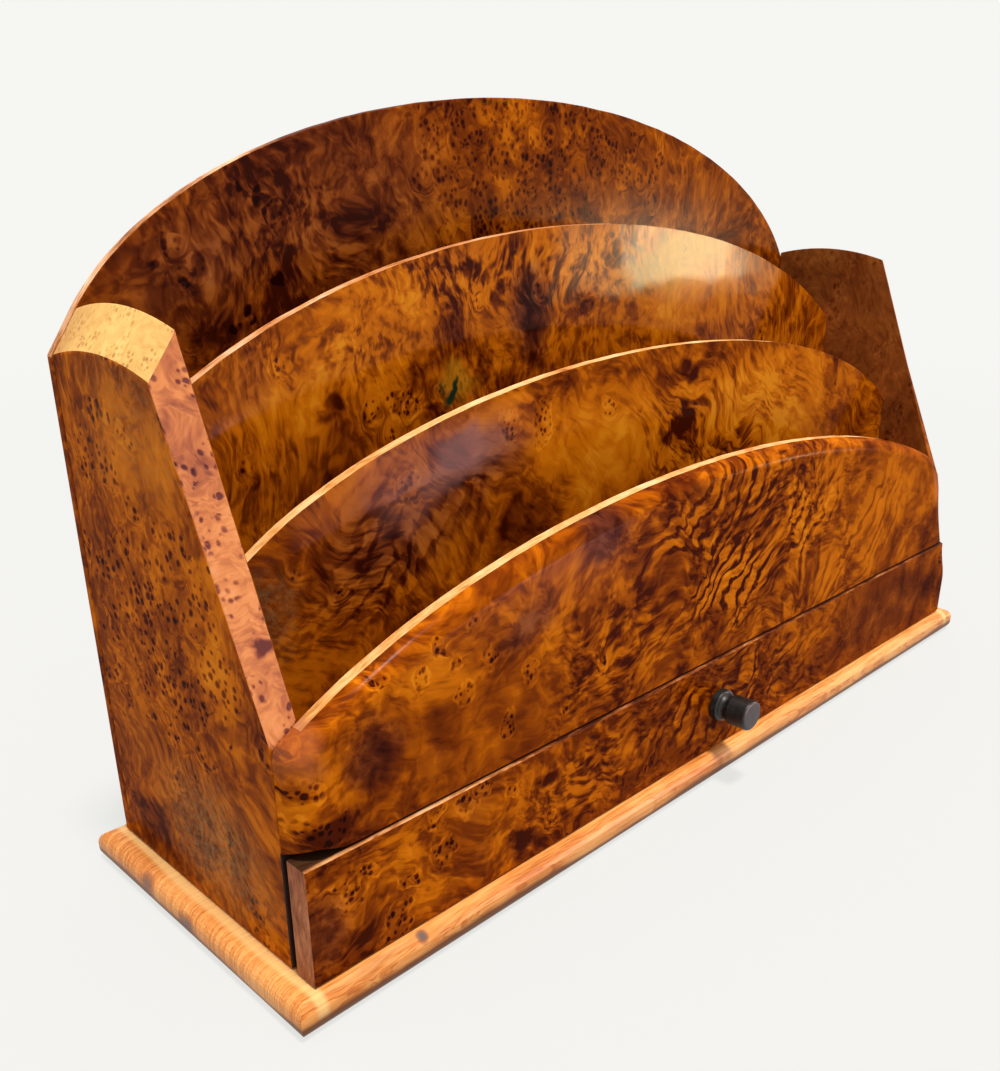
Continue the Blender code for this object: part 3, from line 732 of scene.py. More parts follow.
def crowned_top(front_at, front_z, back_at, back_z):
    """The crowned top edge of a side, from its front corner to its back corner."""
    points = []
    for i in range(TOP_STEPS + 1):
        share = i / TOP_STEPS
        lift = TOP_CROWN * 4 * share * (1 - share)
        points.append((front_at + (back_at - front_at) * share, front_z + (back_z - front_z) * share + lift))
    return points


def side_outline(foot_z, bottom_z, setback, corner_z):
    """A side board's outline in Y and Z."""
    crown = crowned_top(setback, corner_z - TOP_FALL, SIDE_DEPTH, corner_z)
    return [(0, bottom_z), (0, PANEL_FOOT), (0, foot_z)] + crown + [(SIDE_DEPTH, bottom_z)]


def side_face(normal, centre):
    """Material of a side's face: 0 outside, 1 the top, 2 the left board's slope, 3 inside, 4 the painted
    shade behind the drawer front."""
    outward = normal.x * (1 if centre.x > 0 else -1)
    # Front edge in the gap behind the drawer front: painted shade
    if normal.y < GAP_FACING and centre.z < PANEL_FOOT:
        return 4
    if normal.y < SLOPE_FACING and centre.z > SLOPE_FOOT and outward > BEVEL_FACING:
        # Only the left slope gets the pale pink look, which is partly painted light
        return 2 if centre.x < 0 else 0
    if normal.z > TOP_FACING and outward > BEVEL_FACING:
        return 1
    return 0 if outward > INSIDE_FACING else 3


TOP_TONES = ("#5B3A26", "#A9784C", "#E3AC62", "#F8C877", "#FDD488", "#FFDFA6")
INSIDE_TONES = ("#2A0C04", "#57270C", "#80421A", "#9C5824", "#B87030", "#D08C48")
SLOPE_TONES = ("#4A2A30", "#80443C", "#BE6E4A", "#E08C56", "#F0A068", "#FABC8C")
# Painted shade for the gap behind the drawer front
GAP_SHADE_TONES = ("#180A04", "#241008", "#32180C", "#462613")
# Outside: lacquer worn thin by hands, which gives a dull shine, many eyes, and a grey painted sheen low down
side_look = burl(
    "thuya_burl_side", (21.0, 33.0, 47.0), normal='X', lean=70.0, level=0.07,
    weights=(1.0, 0.65, 0.2, 0.2), eyes=(7.5, 4.4, 0.28, 2.7, 0.95, 0.4), gloss=(0.08, 0.2),
    marks=(
        # Grey painted sheen low down, and fainter near the top
        ('painted_sheen', -8.0, 30.0, 38.0, 30.0, 0.0, 0.40),
        ('gold', 5.0, 128.0, 40.0, 24.0, 0.0, 0.30),
        ('painted_sheen', 5.0, 135.0, 40.0, 30.0, 0.0, 0.17),
        ('gold', -20.0, 88.0, 14.0, 45.0, 0.0, 0.16),
        ('knot', 8.0, 84.0, 46.0, 46.0, 0.0, 0.8),
        ('knot', 24.0, 126.0, 22.0, 17.0, 0.0, 0.7),
        ('knot', 8.0, 126.0, 9.0, 9.0, 0.0, 0.2),
        ('dark', 26.0, 24.0, 26.0, 20.0, 0.0, 0.12),
        ('plum', 26.0, 120.0, 10.0, 16.0, 0.0, 0.2),
        ('plum', 22.0, 44.0, 20.0, 18.0, 0.0, 0.3),
    ),
)
# Inside: browner and flatter, since little light falls into the slots
inside_look = burl(
    "thuya_burl_inside", (71.0, 53.0, 5.0), normal='X', lean=70.0, level=0.08,
    weights=(0.6, 0.6, 0.1, 0.15), eyes=(8.0, 3.4, 0.5, 2.2, 1.5, 0.2), gloss=(0.14, 0.1),
    tones=INSIDE_TONES,
)
# Top: sanded through to straw-coloured wood, nearly matt, with pinprick eyes
top_look = burl(
    "sanded_thuya_top", (21.0, 33.0, 47.0), normal='Z', level=0.12, weights=(0.4, 0.4, 0.08, 0.15),
    tones=TOP_TONES, eyes=(4.0, 2.4, 0.75, 1.0, 1.6, 0.22), gloss=(0.05, 0.2),
    marks=(('pink', -163.0, 40.0, 12.0, 16.0, 0.0, 0.4),),
)
# Left slope: sanded pink-brown wood, nearly matt, with larger eyes; its pale pink is partly painted light,
# which the right slope, dressed like the outside, does not get
slope_look = burl(
    "sanded_thuya_slope", (61.0, 33.0, 7.0), level=0.08, weights=(0.6, 0.5, 0.15, 0.2),
    tones=SLOPE_TONES, eyes=(7.0, 3.6, 0.4, 1.8, 1.3, 0.36), gloss=(0.05, 0.2),
    marks=(
        ('dark', -161.0, 131.0, 8.0, 14.0, 0.0, 0.2),
        ('knot', -161.0, 130.0, 20.0, 26.0, 0.0, 0.4),
        ('knot', -161.0, 100.0, 20.0, 14.0, 0.0, 0.3),
        ('dark', -160.0, 91.0, 5.0, 2.4, 0.0, 0.5),
        ('knot', -161.0, 78.0, 12.0, 6.0, 0.0, 0.5),
    ),
)
# Joint behind the drawer front: wood that shows no shine, painted near-black as the shade in the gap
gap_shade_look = straight_wood("painted_shade_gap_thuya", GAP_SHADE_TONES, (0.0, 12.0, -20.0), 1.4, satin=0.7)
for hand, name in ((-1, "left"), (1, "right")):
    low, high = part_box(name + "_side")
    top_in = arch_top(SIDE_INNER, *BACK_ARCH)
    inner = side_outline(arch_top(SIDE_INNER, *FRONT_ARCH), low.z, SLOPE_SETBACK, top_in)
    outer = side_outline(
        arch_top(SIDE_OUTER, *FRONT_ARCH), low.z, SLOPE_SETBACK + BEVEL_SETBACK, top_in - TOP_DROP
    )
    shape = bmesh.new()
    near = [shape.verts.new((hand * SIDE_INNER, SIDE_FRONT + y, z)) for y, z in inner]
    far = [shape.verts.new((hand * SIDE_OUTER, SIDE_FRONT + y, z)) for y, z in outer]
    shape.faces.new(near)
    shape.faces.new(far)
    for i in range(len(near)):
        j = (i + 1) % len(near)
        shape.faces.new((near[i], near[j], far[j], far[i]))
    rounded(shape, SIDE_ARRIS)
    looks = [side_look, top_look, slope_look, inside_look, gap_shade_look]
    finished(name + "_board", shape, looks, "rack", name + "_side", side_face)

# Slot floor: a plain thin cedar board let into grooves in the sides. It is the bottom of the three
# letter slots and the roof of the drawer's bay, and was never lacquered, so it looks dry and matt.
FLOOR_TONES = ("#5E3A1C", "#93642F", "#B98549", "#D3A468")
floor_wood = straight_wood("plain_cedar_floor", FLOOR_TONES, (0.0, 12.0, -20.0), 2.2, satin=0.6)
dressed(["slot_floor"], floor_wood)

# Dividers: two thin arched burl boards, glued between the sides on the slot floor. Their top edges are
# sanded through to the straw-coloured wood, the rear one's with a softer arris.
ARCH_STEPS = 180
DIVIDER_INSIDE = 0.1572
SANDING_REACH = 0.0002
SANDING_WAVE = 0.010
SANDED_ABOVE = 0.05
SANDING_OFFSET = Vector((7.3, 1.9, 4.1))
FLAT_EDGE = 0.72
EDGE_FACING = 0.05
EDGE_TONES = ("#9A5522", "#DB954E", "#F3BB78", "#FCD7A0")
EDGE_STOPS = (0.15, 0.38, 0.6, 0.85)
EDGE_BEND_MM = 9.0
EDGE_BEND_REACH_MM = 5.0
EDGE_STREAK = (5.0, 1.0, 5.0)
EDGE_SHADE_MM = 14.0
EDGE_LEVEL = 0.45
END_COVER = 0.8
# Painted shade towards the back of an edge: how much it covers
BACK_SHADE_COVER = 0.95
EDGE_PINK = "#B36A45"
# Near-black of that painted shade
BACK_SHADE_BLACK = "#2A140A"


def sanded_edge(name, tones, seed, drop=None, ends=None, back_shade=None):
    """Edge grain with short streaks along the board. drop is the start, end and depth of a change to darker
    wood along X, ends says where the ends turn pinkish, and the back shade is the Y range over which a
    painted shade turns it dark towards the back, all in mm."""
    look = blank(name)
    tree = look.node_tree
    mm = in_mm(tree)
    bent = warp(tree, mm, EDGE_BEND_MM, EDGE_BEND_REACH_MM, seed, 2.0)
    grain_place = add(tree, "Mapping", {"Vector": bent, "Scale": EDGE_STREAK}, vector_type='TEXTURE')
    grain = add(tree, "TexNoise", {"Vector": grain_place, "Scale": 1.0, "Detail": 4.0, "Roughness": 0.65})
    clouds = add(tree, "TexNoise", {"Vector": mm, "Scale": 1 / EDGE_SHADE_MM, "Detail": 2.0})
    tone = add(tree, "Math", (grain, EDGE_LEVEL), operation='SUBTRACT')
    tone = add(tree, "Math", (clouds, tone), operation='ADD', use_clamp=True)
    length = add(tree, "SeparateXYZ", (bent,)).outputs[0]
    if drop:
        darker = add(tree, "MapRange", (length, drop[0], drop[1], 0.0, drop[2]), **SOFT)
        tone = add(tree, "Math", (tone, darker), operation='SUBTRACT', use_clamp=True)
    colour = toned(tree, tone, tones, EDGE_STOPS)
    if ends:
        from_middle = add(tree, "Math", (length,), operation='ABSOLUTE')
        end = add(tree, "MapRange", (from_middle, *ends, 0.0, END_COVER), **SOFT)
        colour = stained(tree, colour, end, EDGE_PINK)
    # Painted shade: darker towards the back
    if back_shade:
        depth = add(tree, "SeparateXYZ", (mm,)).outputs[1]
        painted_shade = add(tree, "MapRange", (depth, *back_shade, 0.0, BACK_SHADE_COVER))
        colour = stained(tree, colour, painted_shade, BACK_SHADE_BLACK)
    bump = add(tree, "Bump", {"Strength": 0.3, "Distance": GRAIN_DEPTH, "Height": grain})
    shader = add(
        tree, "BsdfPrincipled",
        {"Base Color": colour, "Roughness": 0.55, "IOR": LACQUER_IOR, "Specular IOR Level": 0.12,
         "Normal": bump},
    )
    add(tree, "OutputMaterial", {"Surface": shader})
    return look


def hand_sanded(shape):
    """Moves points a little within the board's plane, as hand sanding leaves an arched edge."""
    for vert in shape.verts:
        if vert.co.z > SANDED_ABOVE:
            seat = vert.co / SANDING_WAVE
            vert.co.x *= 1 - SANDING_REACH * abs(noise.noise(seat))
            vert.co.z -= SANDING_REACH * abs(noise.noise(seat + SANDING_OFFSET))


def arch_points(half_length, arch):
    """Points of an arch from right to left, closer together towards its ends."""
    points = []
    for i in range(ARCH_STEPS + 1):
        x = half_length * math.cos(math.pi * i / ARCH_STEPS)
        points.append((x, arch_top(x, *arch)))
    return points


def slab(outline, front_y, back_y):
    """A flat board's shape from its outline in X and Z."""
    shape = bmesh.new()
    front = [shape.verts.new((x, front_y, z)) for x, z in outline]
    back = [shape.verts.new((x, back_y, z)) for x, z in outline]
    shape.faces.new(front)
    shape.faces.new(back)
    for i in range(len(outline)):
        j = (i + 1) % len(outline)
        shape.faces.new((front[i], front[j], back[j], back[i]))
    return shape


def on_arch(normal, centre):
    """Material of an arched board's face: 1 along the top edge, 0 elsewhere."""
    return 1 if abs(normal.y) < FLAT_EDGE and normal.z > EDGE_FACING else 0


# Sanded edges: matt and pale, with short streaks of grain, the rubbed one redder and worn rounder. Real
# fibres are under 0.1 mm wide, too fine to show, so the streaks are drawn 1 mm wide.
pale_edge = sanded_edge("sanded_thuya_edge", EDGE_TONES, (3.0, 8.0, 2.0))
soft_edge = sanded_edge(
    "rubbed_thuya_edge", ("#7A3410", "#BE7038", "#E2A06A", "#F6CDA4"), (13.0, 5.0, 9.0),
    drop=(60.0, 110.0, 0.3),
)
# Rear divider: fiery, well-polished burl with a green flaw, which mirrors the pale wall as a cream glow
rear_look = burl(
    "thuya_burl_rear", (11.0, 43.0, 87.0), lean=80.0, level=0.15, gloss=(0.14, 0.07),
    weights=(1.2, 0.85, 0.25, 0.22), eyes=(9.0, 2.2, 0.2, 1.9, 1.3, 0.45), fleck_mm=5.5,
    marks=(
        ('streak', -25.0, 158.0, 85.0, 15.0, 0.0, 0.35),
        ('streak', -100.0, 140.0, 30.0, 12.0, 0.0, 0.3),
        # Grey painted sheen
        ('painted_sheen', 28.0, 158.0, 16.0, 9.0, 0.0, 0.2),
        ('gold', -118.0, 132.0, 28.0, 16.0, 0.0, 0.18),
        ('gold', -85.0, 152.0, 30.0, 12.0, 0.0, 0.16),
        ('gold', 62.0, 148.0, 55.0, 26.0, 0.0, 0.26),
        ('gold', 40.0, 164.0, 40.0, 12.0, -8.0, 0.2),
        ('green', 52.0, 161.0, 48.0, 13.0, -14.0, 0.55),
        ('plum', -27.0, 146.0, 13.0, 20.0, 0.0, 0.9),
        ('dark', -25.0, 142.0, 10.0, 18.0, 0.0, 0.34),
        ('dark', -58.0, 146.0, 12.0, 14.0, 0.0, 0.12),
        ('knot', -80.0, 121.0, 26.0, 12.0, 0.0, 0.3),
        ('eye', -78.0, 124.0, 7.0, 7.0, 0.0, 1.0),
        ('dark', -104.0, 128.0, 6.0, 4.5, 40.0, 0.45),
        ('gold', -57.0, 128.0, 14.0, 10.0, 20.0, 0.22),
        ('green', -57.0, 128.0, 11.0, 9.0, 20.0, 0.5),
        ('dark', -48.0, 131.0, 3.0, 9.0, 10.0, 0.4),
        ('dark', -67.0, 121.0, 6.0, 2.6, 0.0, 0.4),
        ('black', -60.4, 123.6, 4.8, 3.0, -35.0, 1.2),
        ('black', -58.4, 126.6, 1.8, 4.2, 15.0, 1.0),
        ('black', -63.5, 127.5, 1.5, 3.6, -10.0, 0.8),
    ),
)
# Middle divider: broad dark swirls, with a thinner coat that gives only a faint mauve reflection, made
# stronger by mauve painted reflection in its colour
middle_look = burl(
    "thuya_burl_middle", (91.0, 3.0, 37.0), lean=35.0, level=0.09, gloss=(0.045, 0.07),
    weights=(1.35, 0.7, 0.2, 0.3), band=(12.0, 2.6), eyes=(11.0, 2.4, 0.15, 1.9, 1.0, 0.45), fleck_mm=6.5,
    marks=(
        ('plum', -104.0, 106.0, 48.0, 24.0, -25.0, 0.6),
        ('flame', -110.0, 98.0, 46.0, 26.0, -20.0, 0.24),
        ('plum', -76.0, 115.0, 24.0, 12.0, 0.0, 0.6),
        # Painted reflection: mauve patches where the coat mirrors the pale pink card
        ('mauve_reflection', -84.0, 116.0, 20.0, 9.0, -20.0, 0.44),
        ('mauve_reflection', -103.0, 106.0, 16.0, 10.0, -20.0, 0.22),
        ('gold', -70.0, 126.0, 30.0, 4.0, -12.0, 0.3),
        ('gold', -30.0, 100.0, 30.0, 22.0, 0.0, 0.12),
        ('dark', -112.0, 92.0, 13.0, 20.0, 0.0, 0.25),
        ('streak', -116.0, 92.0, 26.0, 24.0, 0.0, 0.25),
        ('streak', -84.0, 114.0, 24.0, 12.0, 0.0, 0.4),
        # Grey painted sheen at the far left
        ('painted_sheen', -147.0, 88.0, 11.0, 18.0, 0.0, 0.22),
        ('gold', -88.0, 89.0, 14.0, 16.0, 0.0, 0.2),
        ('gold', -24.0, 113.0, 44.0, 24.0, 0.0, 0.26),
        ('dark', 14.0, 107.0, 17.0, 12.0, 30.0, 0.42),
        ('dark', 14.0, 127.0, 18.0, 5.0, 0.0, 0.4),
        ('dark', 48.0, 97.0, 14.0, 9.0, 0.0, 0.4),
        ('streak', 40.0, 108.0, 70.0, 26.0, 0.0, 0.4),
        ('gold', 66.0, 108.0, 60.0, 30.0, 0.0, 0.42),
        ('eye', -103.0, 111.0, 5.0, 5.0, 0.0, 1.0),
        ('dark', -87.0, 118.0, 6.0, 4.0, 0.0, 0.2),
        ('eye', -67.0, 120.0, 6.0, 6.0, 0.0, 1.0),
        ('eye', -54.0, 120.0, 5.0, 8.0, 0.0, 1.0),
    ),
)
for name, arch, arris, look, edge in (
    ("rear", (0.162, 0.0873, 0.18447), 0.0007, rear_look, soft_edge),
    ("middle", (0.1268, 0.0601, 0.16979), 0.0003, middle_look, pale_edge),
):
    low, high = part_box(name + "_divider")
    outline = arch_points(DIVIDER_INSIDE, arch) + [(-DIVIDER_INSIDE, low.z), (DIVIDER_INSIDE, low.z)]
    shape = slab(outline, low.y, high.y)
    rounded(shape, arris)
    hand_sanded(shape)
    finished(name + "_board", shape, [look, edge], "rack", name + "_divider", on_arch)

# Back panel: the tallest and thinnest burl board, arched over its whole width, laid over the sides'
# back edges and held there with panel pins.
BACK_ARRIS = 0.0004
low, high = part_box("back_panel")
corner = arch_top(SIDE_INNER, *BACK_ARCH) - TOP_DROP
outline = arch_points(SIDE_INNER, BACK_ARCH)
outline += [(-SIDE_OUTER, corner), (-SIDE_OUTER, low.z), (SIDE_OUTER, low.z), (SIDE_OUTER, corner)]
shape = slab(outline, low.y, high.y)
rounded(shape, BACK_ARRIS)
hand_sanded(shape)
# Back panel's burl: dark and oily on the left, full of fine eyes on the right, with a soft shine
back_look = burl(
    "thuya_burl_back", (61.0, 13.0, 27.0), lean=60.0, level=-0.01, gloss=(0.065, 0.2),
    weights=(0.95, 0.9, 0.15, 0.15), band=(5.0, 3.0), eyes=(7.0, 4.4, 0.2, 2.3, 1.1, 0.27), fleck_mm=6.0,
    marks=(
        ('plum', -85.0, 182.0, 70.0, 40.0, 0.0, 0.6),
        ('plum', -130.0, 158.0, 30.0, 24.0, 0.0, 0.5),
        ('dark', -95.0, 180.0, 60.0, 40.0, 0.0, 0.10),
        ('knot', -2.0, 188.0, 60.0, 34.0, 0.0, 0.75),
        ('knot', 56.0, 190.0, 30.0, 18.0, 0.0, 0.2),
        ('spot', -104.6, 181.0, 2.0, 2.4, 0.0, 0.5),
        ('spot', -111.0, 181.0, 1.4, 1.4, 0.0, 0.4),
        ('spot', -99.0, 159.0, 2.4, 2.2, 0.0, 0.5),
        ('spot', -111.5, 151.0, 2.0, 2.0, 0.0, 0.5),
        ('spot', -114.0, 146.0, 2.2, 2.0, 0.0, 0.5),
        ('spot', -108.0, 148.0, 1.6, 1.6, 0.0, 0.5),
        ('spot', -138.0, 164.5, 2.4, 2.0, 0.0, 0.4),
        ('spot', -150.0, 156.0, 2.2, 1.8, 0.0, 0.4),
        ('gold', 80.0, 184.0, 60.0, 22.0, 0.0, 0.08),
        ('gold', -129.0, 169.0, 12.0, 5.0, -40.0, 0.26),
        ('gold', -120.0, 160.0, 5.0, 12.0, 20.0, 0.2),
        ('gold', -92.0, 169.0, 22.0, 6.0, 10.0, 0.18),
        ('gold', -60.0, 186.0, 10.0, 16.0, 0.0, 0.14),
        ('gold', -44.0, 172.0, 12.0, 14.0, 20.0, 0.16),
        ('streak', -100.0, 170.0, 60.0, 30.0, 0.0, 0.25),
    ),
)
# Its edge: matt and pink-brown, and dark with handling from a little left of the middle to the right end
thin_edge = sanded_edge(
    "dark_thuya_edge", ("#5A240A", "#A4602E", "#DDA070", "#F2CBA2"), (23.0, 6.0, 1.0),
    drop=(-112.0, -86.0, 0.55),
)
finished("back_board", shape, [back_look, thin_edge], "rack", "back_panel", on_arch)

# Front panel: a thick arched burl board glued over the sides' front edges, its front arris rounded over
# along the arch and down both ends, and its corners rubbed away by hand, the upper right one most. Only a
# narrow flat strip of its top edge is left, sanded pale.
FRONT_ROUND = 0.005
FRONT_ROUND_STEPS = 10
FRONT_ARCH_STEPS = 220
FRONT_ARRIS = 0.0003
FRONT_CORNER = 0.004
FRONT_CORNER_STEPS = 8
CORNER_START = 0.1585
STRIP_FACING = 0.5
STRIP_START = 0.93
FOOT_STEP = 0.0035
FOOT_STEPS = 5
MERGE_WITHIN = 0.000002
RUBBED_CORNER = Vector((SIDE_OUTER, 0.0, 0.072))
RUBBED_REACH = 0.030
RUBBED_DEPTH = 0.016
RUBBED_LOW = Vector((SIDE_OUTER, 0.0, PANEL_FOOT))
RUBBED_LOW_REACH = 0.014
RUBBED_LOW_DEPTH = 0.0035


def end_corner(limit, corner_z, slope, radius):
    """Points of a rounded upper corner at the right end, from the end up to the arch."""
    corner = Vector((limit, corner_z))
    along = Vector((-1, slope)).normalized()
    down = Vector((0, -1))
    half = along.angle(down) / 2
    centre = corner + (along + down).normalized() * radius / math.sin(half)
    points = []
    for i in range(FRONT_CORNER_STEPS + 1):
        angle = (math.pi - 2 * half) * i / FRONT_CORNER_STEPS
        points.append((centre.x + radius * math.cos(angle), centre.y + radius * math.sin(angle)))
    return points


def inset_arch(inset):
    """The front panel's arch and upper corners after moving its outline inwards."""
    rise, half_span = FRONT_ARCH[1:]
    limit = SIDE_OUTER - inset
    points = []
    for i in range(FRONT_ARCH_STEPS + 1):
        x = SIDE_OUTER - 2 * SIDE_OUTER * i / FRONT_ARCH_STEPS
        across = rise * x / half_span ** 2 / math.sqrt(1 - (x / half_span) ** 2)
        size = math.hypot(across, 1)
        points.append((x - inset * across / size, arch_top(x, *FRONT_ARCH) - inset / size))
    near, next_one = [point for point in points if point[0] < limit][:2]
    slope = (next_one[1] - near[1]) / (near[0] - next_one[0])
    corner_z = near[1] - slope * (limit - near[0])
    corner = end_corner(limit, corner_z, slope, max(FRONT_CORNER - inset, 0.0))
    edge = corner[-1]
    outline = list(corner)
    for x, z in points:
        if abs(x) < edge[0]:
            outline.append((x, z))
        else:
            outline.append((math.copysign(edge[0], x), edge[1]))
    return outline + [(-x, z) for x, z in reversed(corner)]


def foot_points(limit, z):
    """Points along the straight lower edge from left to right, closer together near its corners."""
    steps = [limit - FOOT_STEP * i for i in range(FOOT_STEPS)]
    return [(-x, z) for x in steps] + [(x, z) for x in reversed(steps)]


low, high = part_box("front_panel")
shape = bmesh.new()
rings = []
for i in range(FRONT_ROUND_STEPS + 1):
    angle = math.pi / 2 * i / FRONT_ROUND_STEPS
    inset = FRONT_ROUND * (1 - math.cos(angle))
    y = low.y + FRONT_ROUND * (1 - math.sin(angle))
    limit = SIDE_OUTER - inset
    outline = inset_arch(inset) + foot_points(limit, low.z)
    rings.append([shape.verts.new((x, y, z)) for x, z in outline])
outline = inset_arch(0.0) + foot_points(SIDE_OUTER, low.z)
rings.insert(0, [shape.verts.new((x, high.y, z)) for x, z in outline])
count = len(rings[0])
for near, far in zip(rings, rings[1:]):
    for i in range(count):
        j = (i + 1) % count
        shape.faces.new((near[i], near[j], far[j], far[i]))
shape.faces.new(rings[0])
shape.faces.new(rings[-1])
bmesh.ops.remove_doubles(shape, verts=shape.verts, dist=MERGE_WITHIN)
rounded(shape, FRONT_ARRIS)
hand_sanded(shape)


def rubbed_away(shape, corner, reach, depth, inwards, back_y, thickness):
    """Takes more wood off round a corner, most at the front face and none at the back."""
    for vert in shape.verts:
        seat = Vector((vert.co.x, 0.0, vert.co.z))
        near = max(0.0, 1 - (seat - corner).length / reach)
        front = max(0.0, (back_y - vert.co.y) / thickness)
        vert.co += inwards * (depth * near * near * (3 - 2 * near) * front)


left_low = Vector((-RUBBED_LOW.x, 0, RUBBED_LOW.z))
for corner, reach, depth, inwards in (
    (RUBBED_CORNER, RUBBED_REACH, RUBBED_DEPTH, Vector((-0.95, 0, -0.3))),
    (RUBBED_LOW, RUBBED_LOW_REACH, RUBBED_LOW_DEPTH, Vector((-1, 0, 0))),
    (left_low, RUBBED_LOW_REACH, RUBBED_LOW_DEPTH, Vector((0.8, 0, 0.8))),
):
    rubbed_away(shape, corner, reach, depth, inwards, high.y, high.y - low.y)


def front_face(normal, centre):
    """Material of the front panel's face: 1 on the flat strip along its top edge, up to its corners."""
    behind_round = centre.y > low.y + FRONT_ROUND * STRIP_START
    return 1 if behind_round and normal.z > STRIP_FACING and abs(centre.x) < CORNER_START else 0


# Eye groups seen on the panel: place along, height and reach, in mm
FRONT_EYES = (
    (-162.0, 60.4, 5.0), (-161.0, 50.0, 5.0), (-156.0, 48.5, 6.0), (-163.5, 70.0, 2.6),
    (-141.4, 80.9, 3.6), (-129.1, 77.4, 4.0), (-121.8, 82.5, 3.6), (-112.2, 84.6, 3.6),
    (-118.9, 76.8, 3.6), (-113.9, 67.3, 4.0), (-106.7, 75.2, 4.2), (-91.3, 65.6, 4.6),
    (-100.5, 53.9, 4.2), (-77.8, 49.4, 4.0), (-64.0, 60.0, 4.6),
)
# Front panel's burl: amber, with eyes on the left and a ripple of dark flames from the middle to the
# right, under a clear lacquer that keeps the colours deep
front_look = burl(
    "thuya_burl_front", (31.0, 73.0, 17.0), level=0.03,
    weights=(1.15, 0.75, 0.2, 0.18), eyes=(11.0, 2.3, 0.12, 2.0, 1.2, 0.45), fleck_mm=6.5,
    marks=(
        ('flame', -4.0, 80.0, 66.0, 38.0, 0.0, 0.42),
        ('streak', 20.0, 82.0, 60.0, 30.0, 0.0, 0.25),
        ('flame', 60.0, 66.0, 90.0, 40.0, 0.0, 0.2),
        ('streak', -62.0, 62.0, 38.0, 26.0, 0.0, 0.25),
        ('streak', 130.0, 70.0, 70.0, 60.0, 0.0, -0.3),
        ('streak', -108.0, 58.0, 46.0, 22.0, 0.0, -0.22),
        ('pink', 156.0, 66.0, 14.0, 14.0, 0.0, 0.45),
        ('plum', -63.0, 96.0, 15.0, 12.0, 0.0, 1.0),
        ('plum', -92.0, 80.0, 14.0, 7.0, -25.0, 0.8),
        ('dark', -37.0, 98.0, 6.0, 5.0, 0.0, 0.5),
        ('dark', -48.0, 86.0, 6.0, 16.0, 10.0, 0.34),
        ('pink', -162.0, 70.0, 9.0, 9.0, 0.0, 0.5),
        ('gold', -160.0, 66.0, 10.0, 18.0, 0.0, 0.16),
        ('plum', -143.0, 63.0, 11.0, 12.0, 0.0, 0.7),
        ('dark', -143.0, 61.0, 11.0, 13.0, 0.0, 0.22),
        ('dark', -156.0, 48.0, 10.0, 6.0, -15.0, 0.45),
        ('gold', -124.0, 76.0, 30.0, 14.0, 0.0, 0.10),
        ('gold', 85.0, 72.0, 90.0, 40.0, 0.0, 0.17),
    ) + tuple(('eye', x, z, reach, reach, 0.0, 1.0) for x, z, reach in FRONT_EYES),
)
# Its top strip: matt and straw-coloured, pinkish at both ends
front_edge = sanded_edge("sanded_thuya_front_edge", EDGE_TONES, (5.0, 3.0, 8.0), ends=(154.0, 158.0))
finished("front_board", shape, [front_look, front_edge], "rack", "front_panel", front_face)

# Drawer front: a flat burl board as wide as the body, cut from the same plank as the front panel. Its
# arrises are crisp, and the top one is worn bright where fingers and the panel above rub it.
DRAWER_ARRIS = 0.0003
DRAWER_SIDE_STEPS = 12
DRAWER_TOP_STEPS = 4
DRAWER_RUB_REACH = 0.018
DRAWER_RUB_DEPTH = 0.006
DRAWER_TOP_FACING = 0.5
DRAWER_END_FACING = 0.6
low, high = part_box("drawer_front")
side_points = [
    (high.x, low.z + (high.z - low.z) * i / DRAWER_SIDE_STEPS) for i in range(DRAWER_SIDE_STEPS + 1)
]
top_points = [
    (high.x - DRAWER_RUB_REACH * (1 - i / DRAWER_TOP_STEPS), high.z)
    for i in range(DRAWER_TOP_STEPS - 1, -1, -1)
]
shape = slab([(low.x, low.z)] + side_points + top_points + [(low.x, high.z)], low.y, high.y)
rounded(shape, DRAWER_ARRIS)
rubbed_away(
    shape, Vector((high.x, 0.0, high.z)), DRAWER_RUB_REACH, DRAWER_RUB_DEPTH, Vector((-1, 0, 0)), high.y,
    high.y - low.y,
)
# Eye groups seen on the drawer front, in the same way
DRAWER_EYES = (
    (-126.0, 38.0, 4.6), (-117.6, 38.0, 4.0), (-111.7, 39.0, 3.4), (-124.7, 27.1, 6.0),
    (-135.6, 24.6, 4.0), (-155.9, 34.5, 3.4), (-153.0, 28.2, 4.6), (-148.8, 33.6, 3.4),
    (-139.8, 17.3, 4.0), (-138.5, 12.5, 3.4), (-99.8, 33.8, 3.8), (-85.1, 19.2, 4.6), (-40.0, 16.0, 4.0),
)
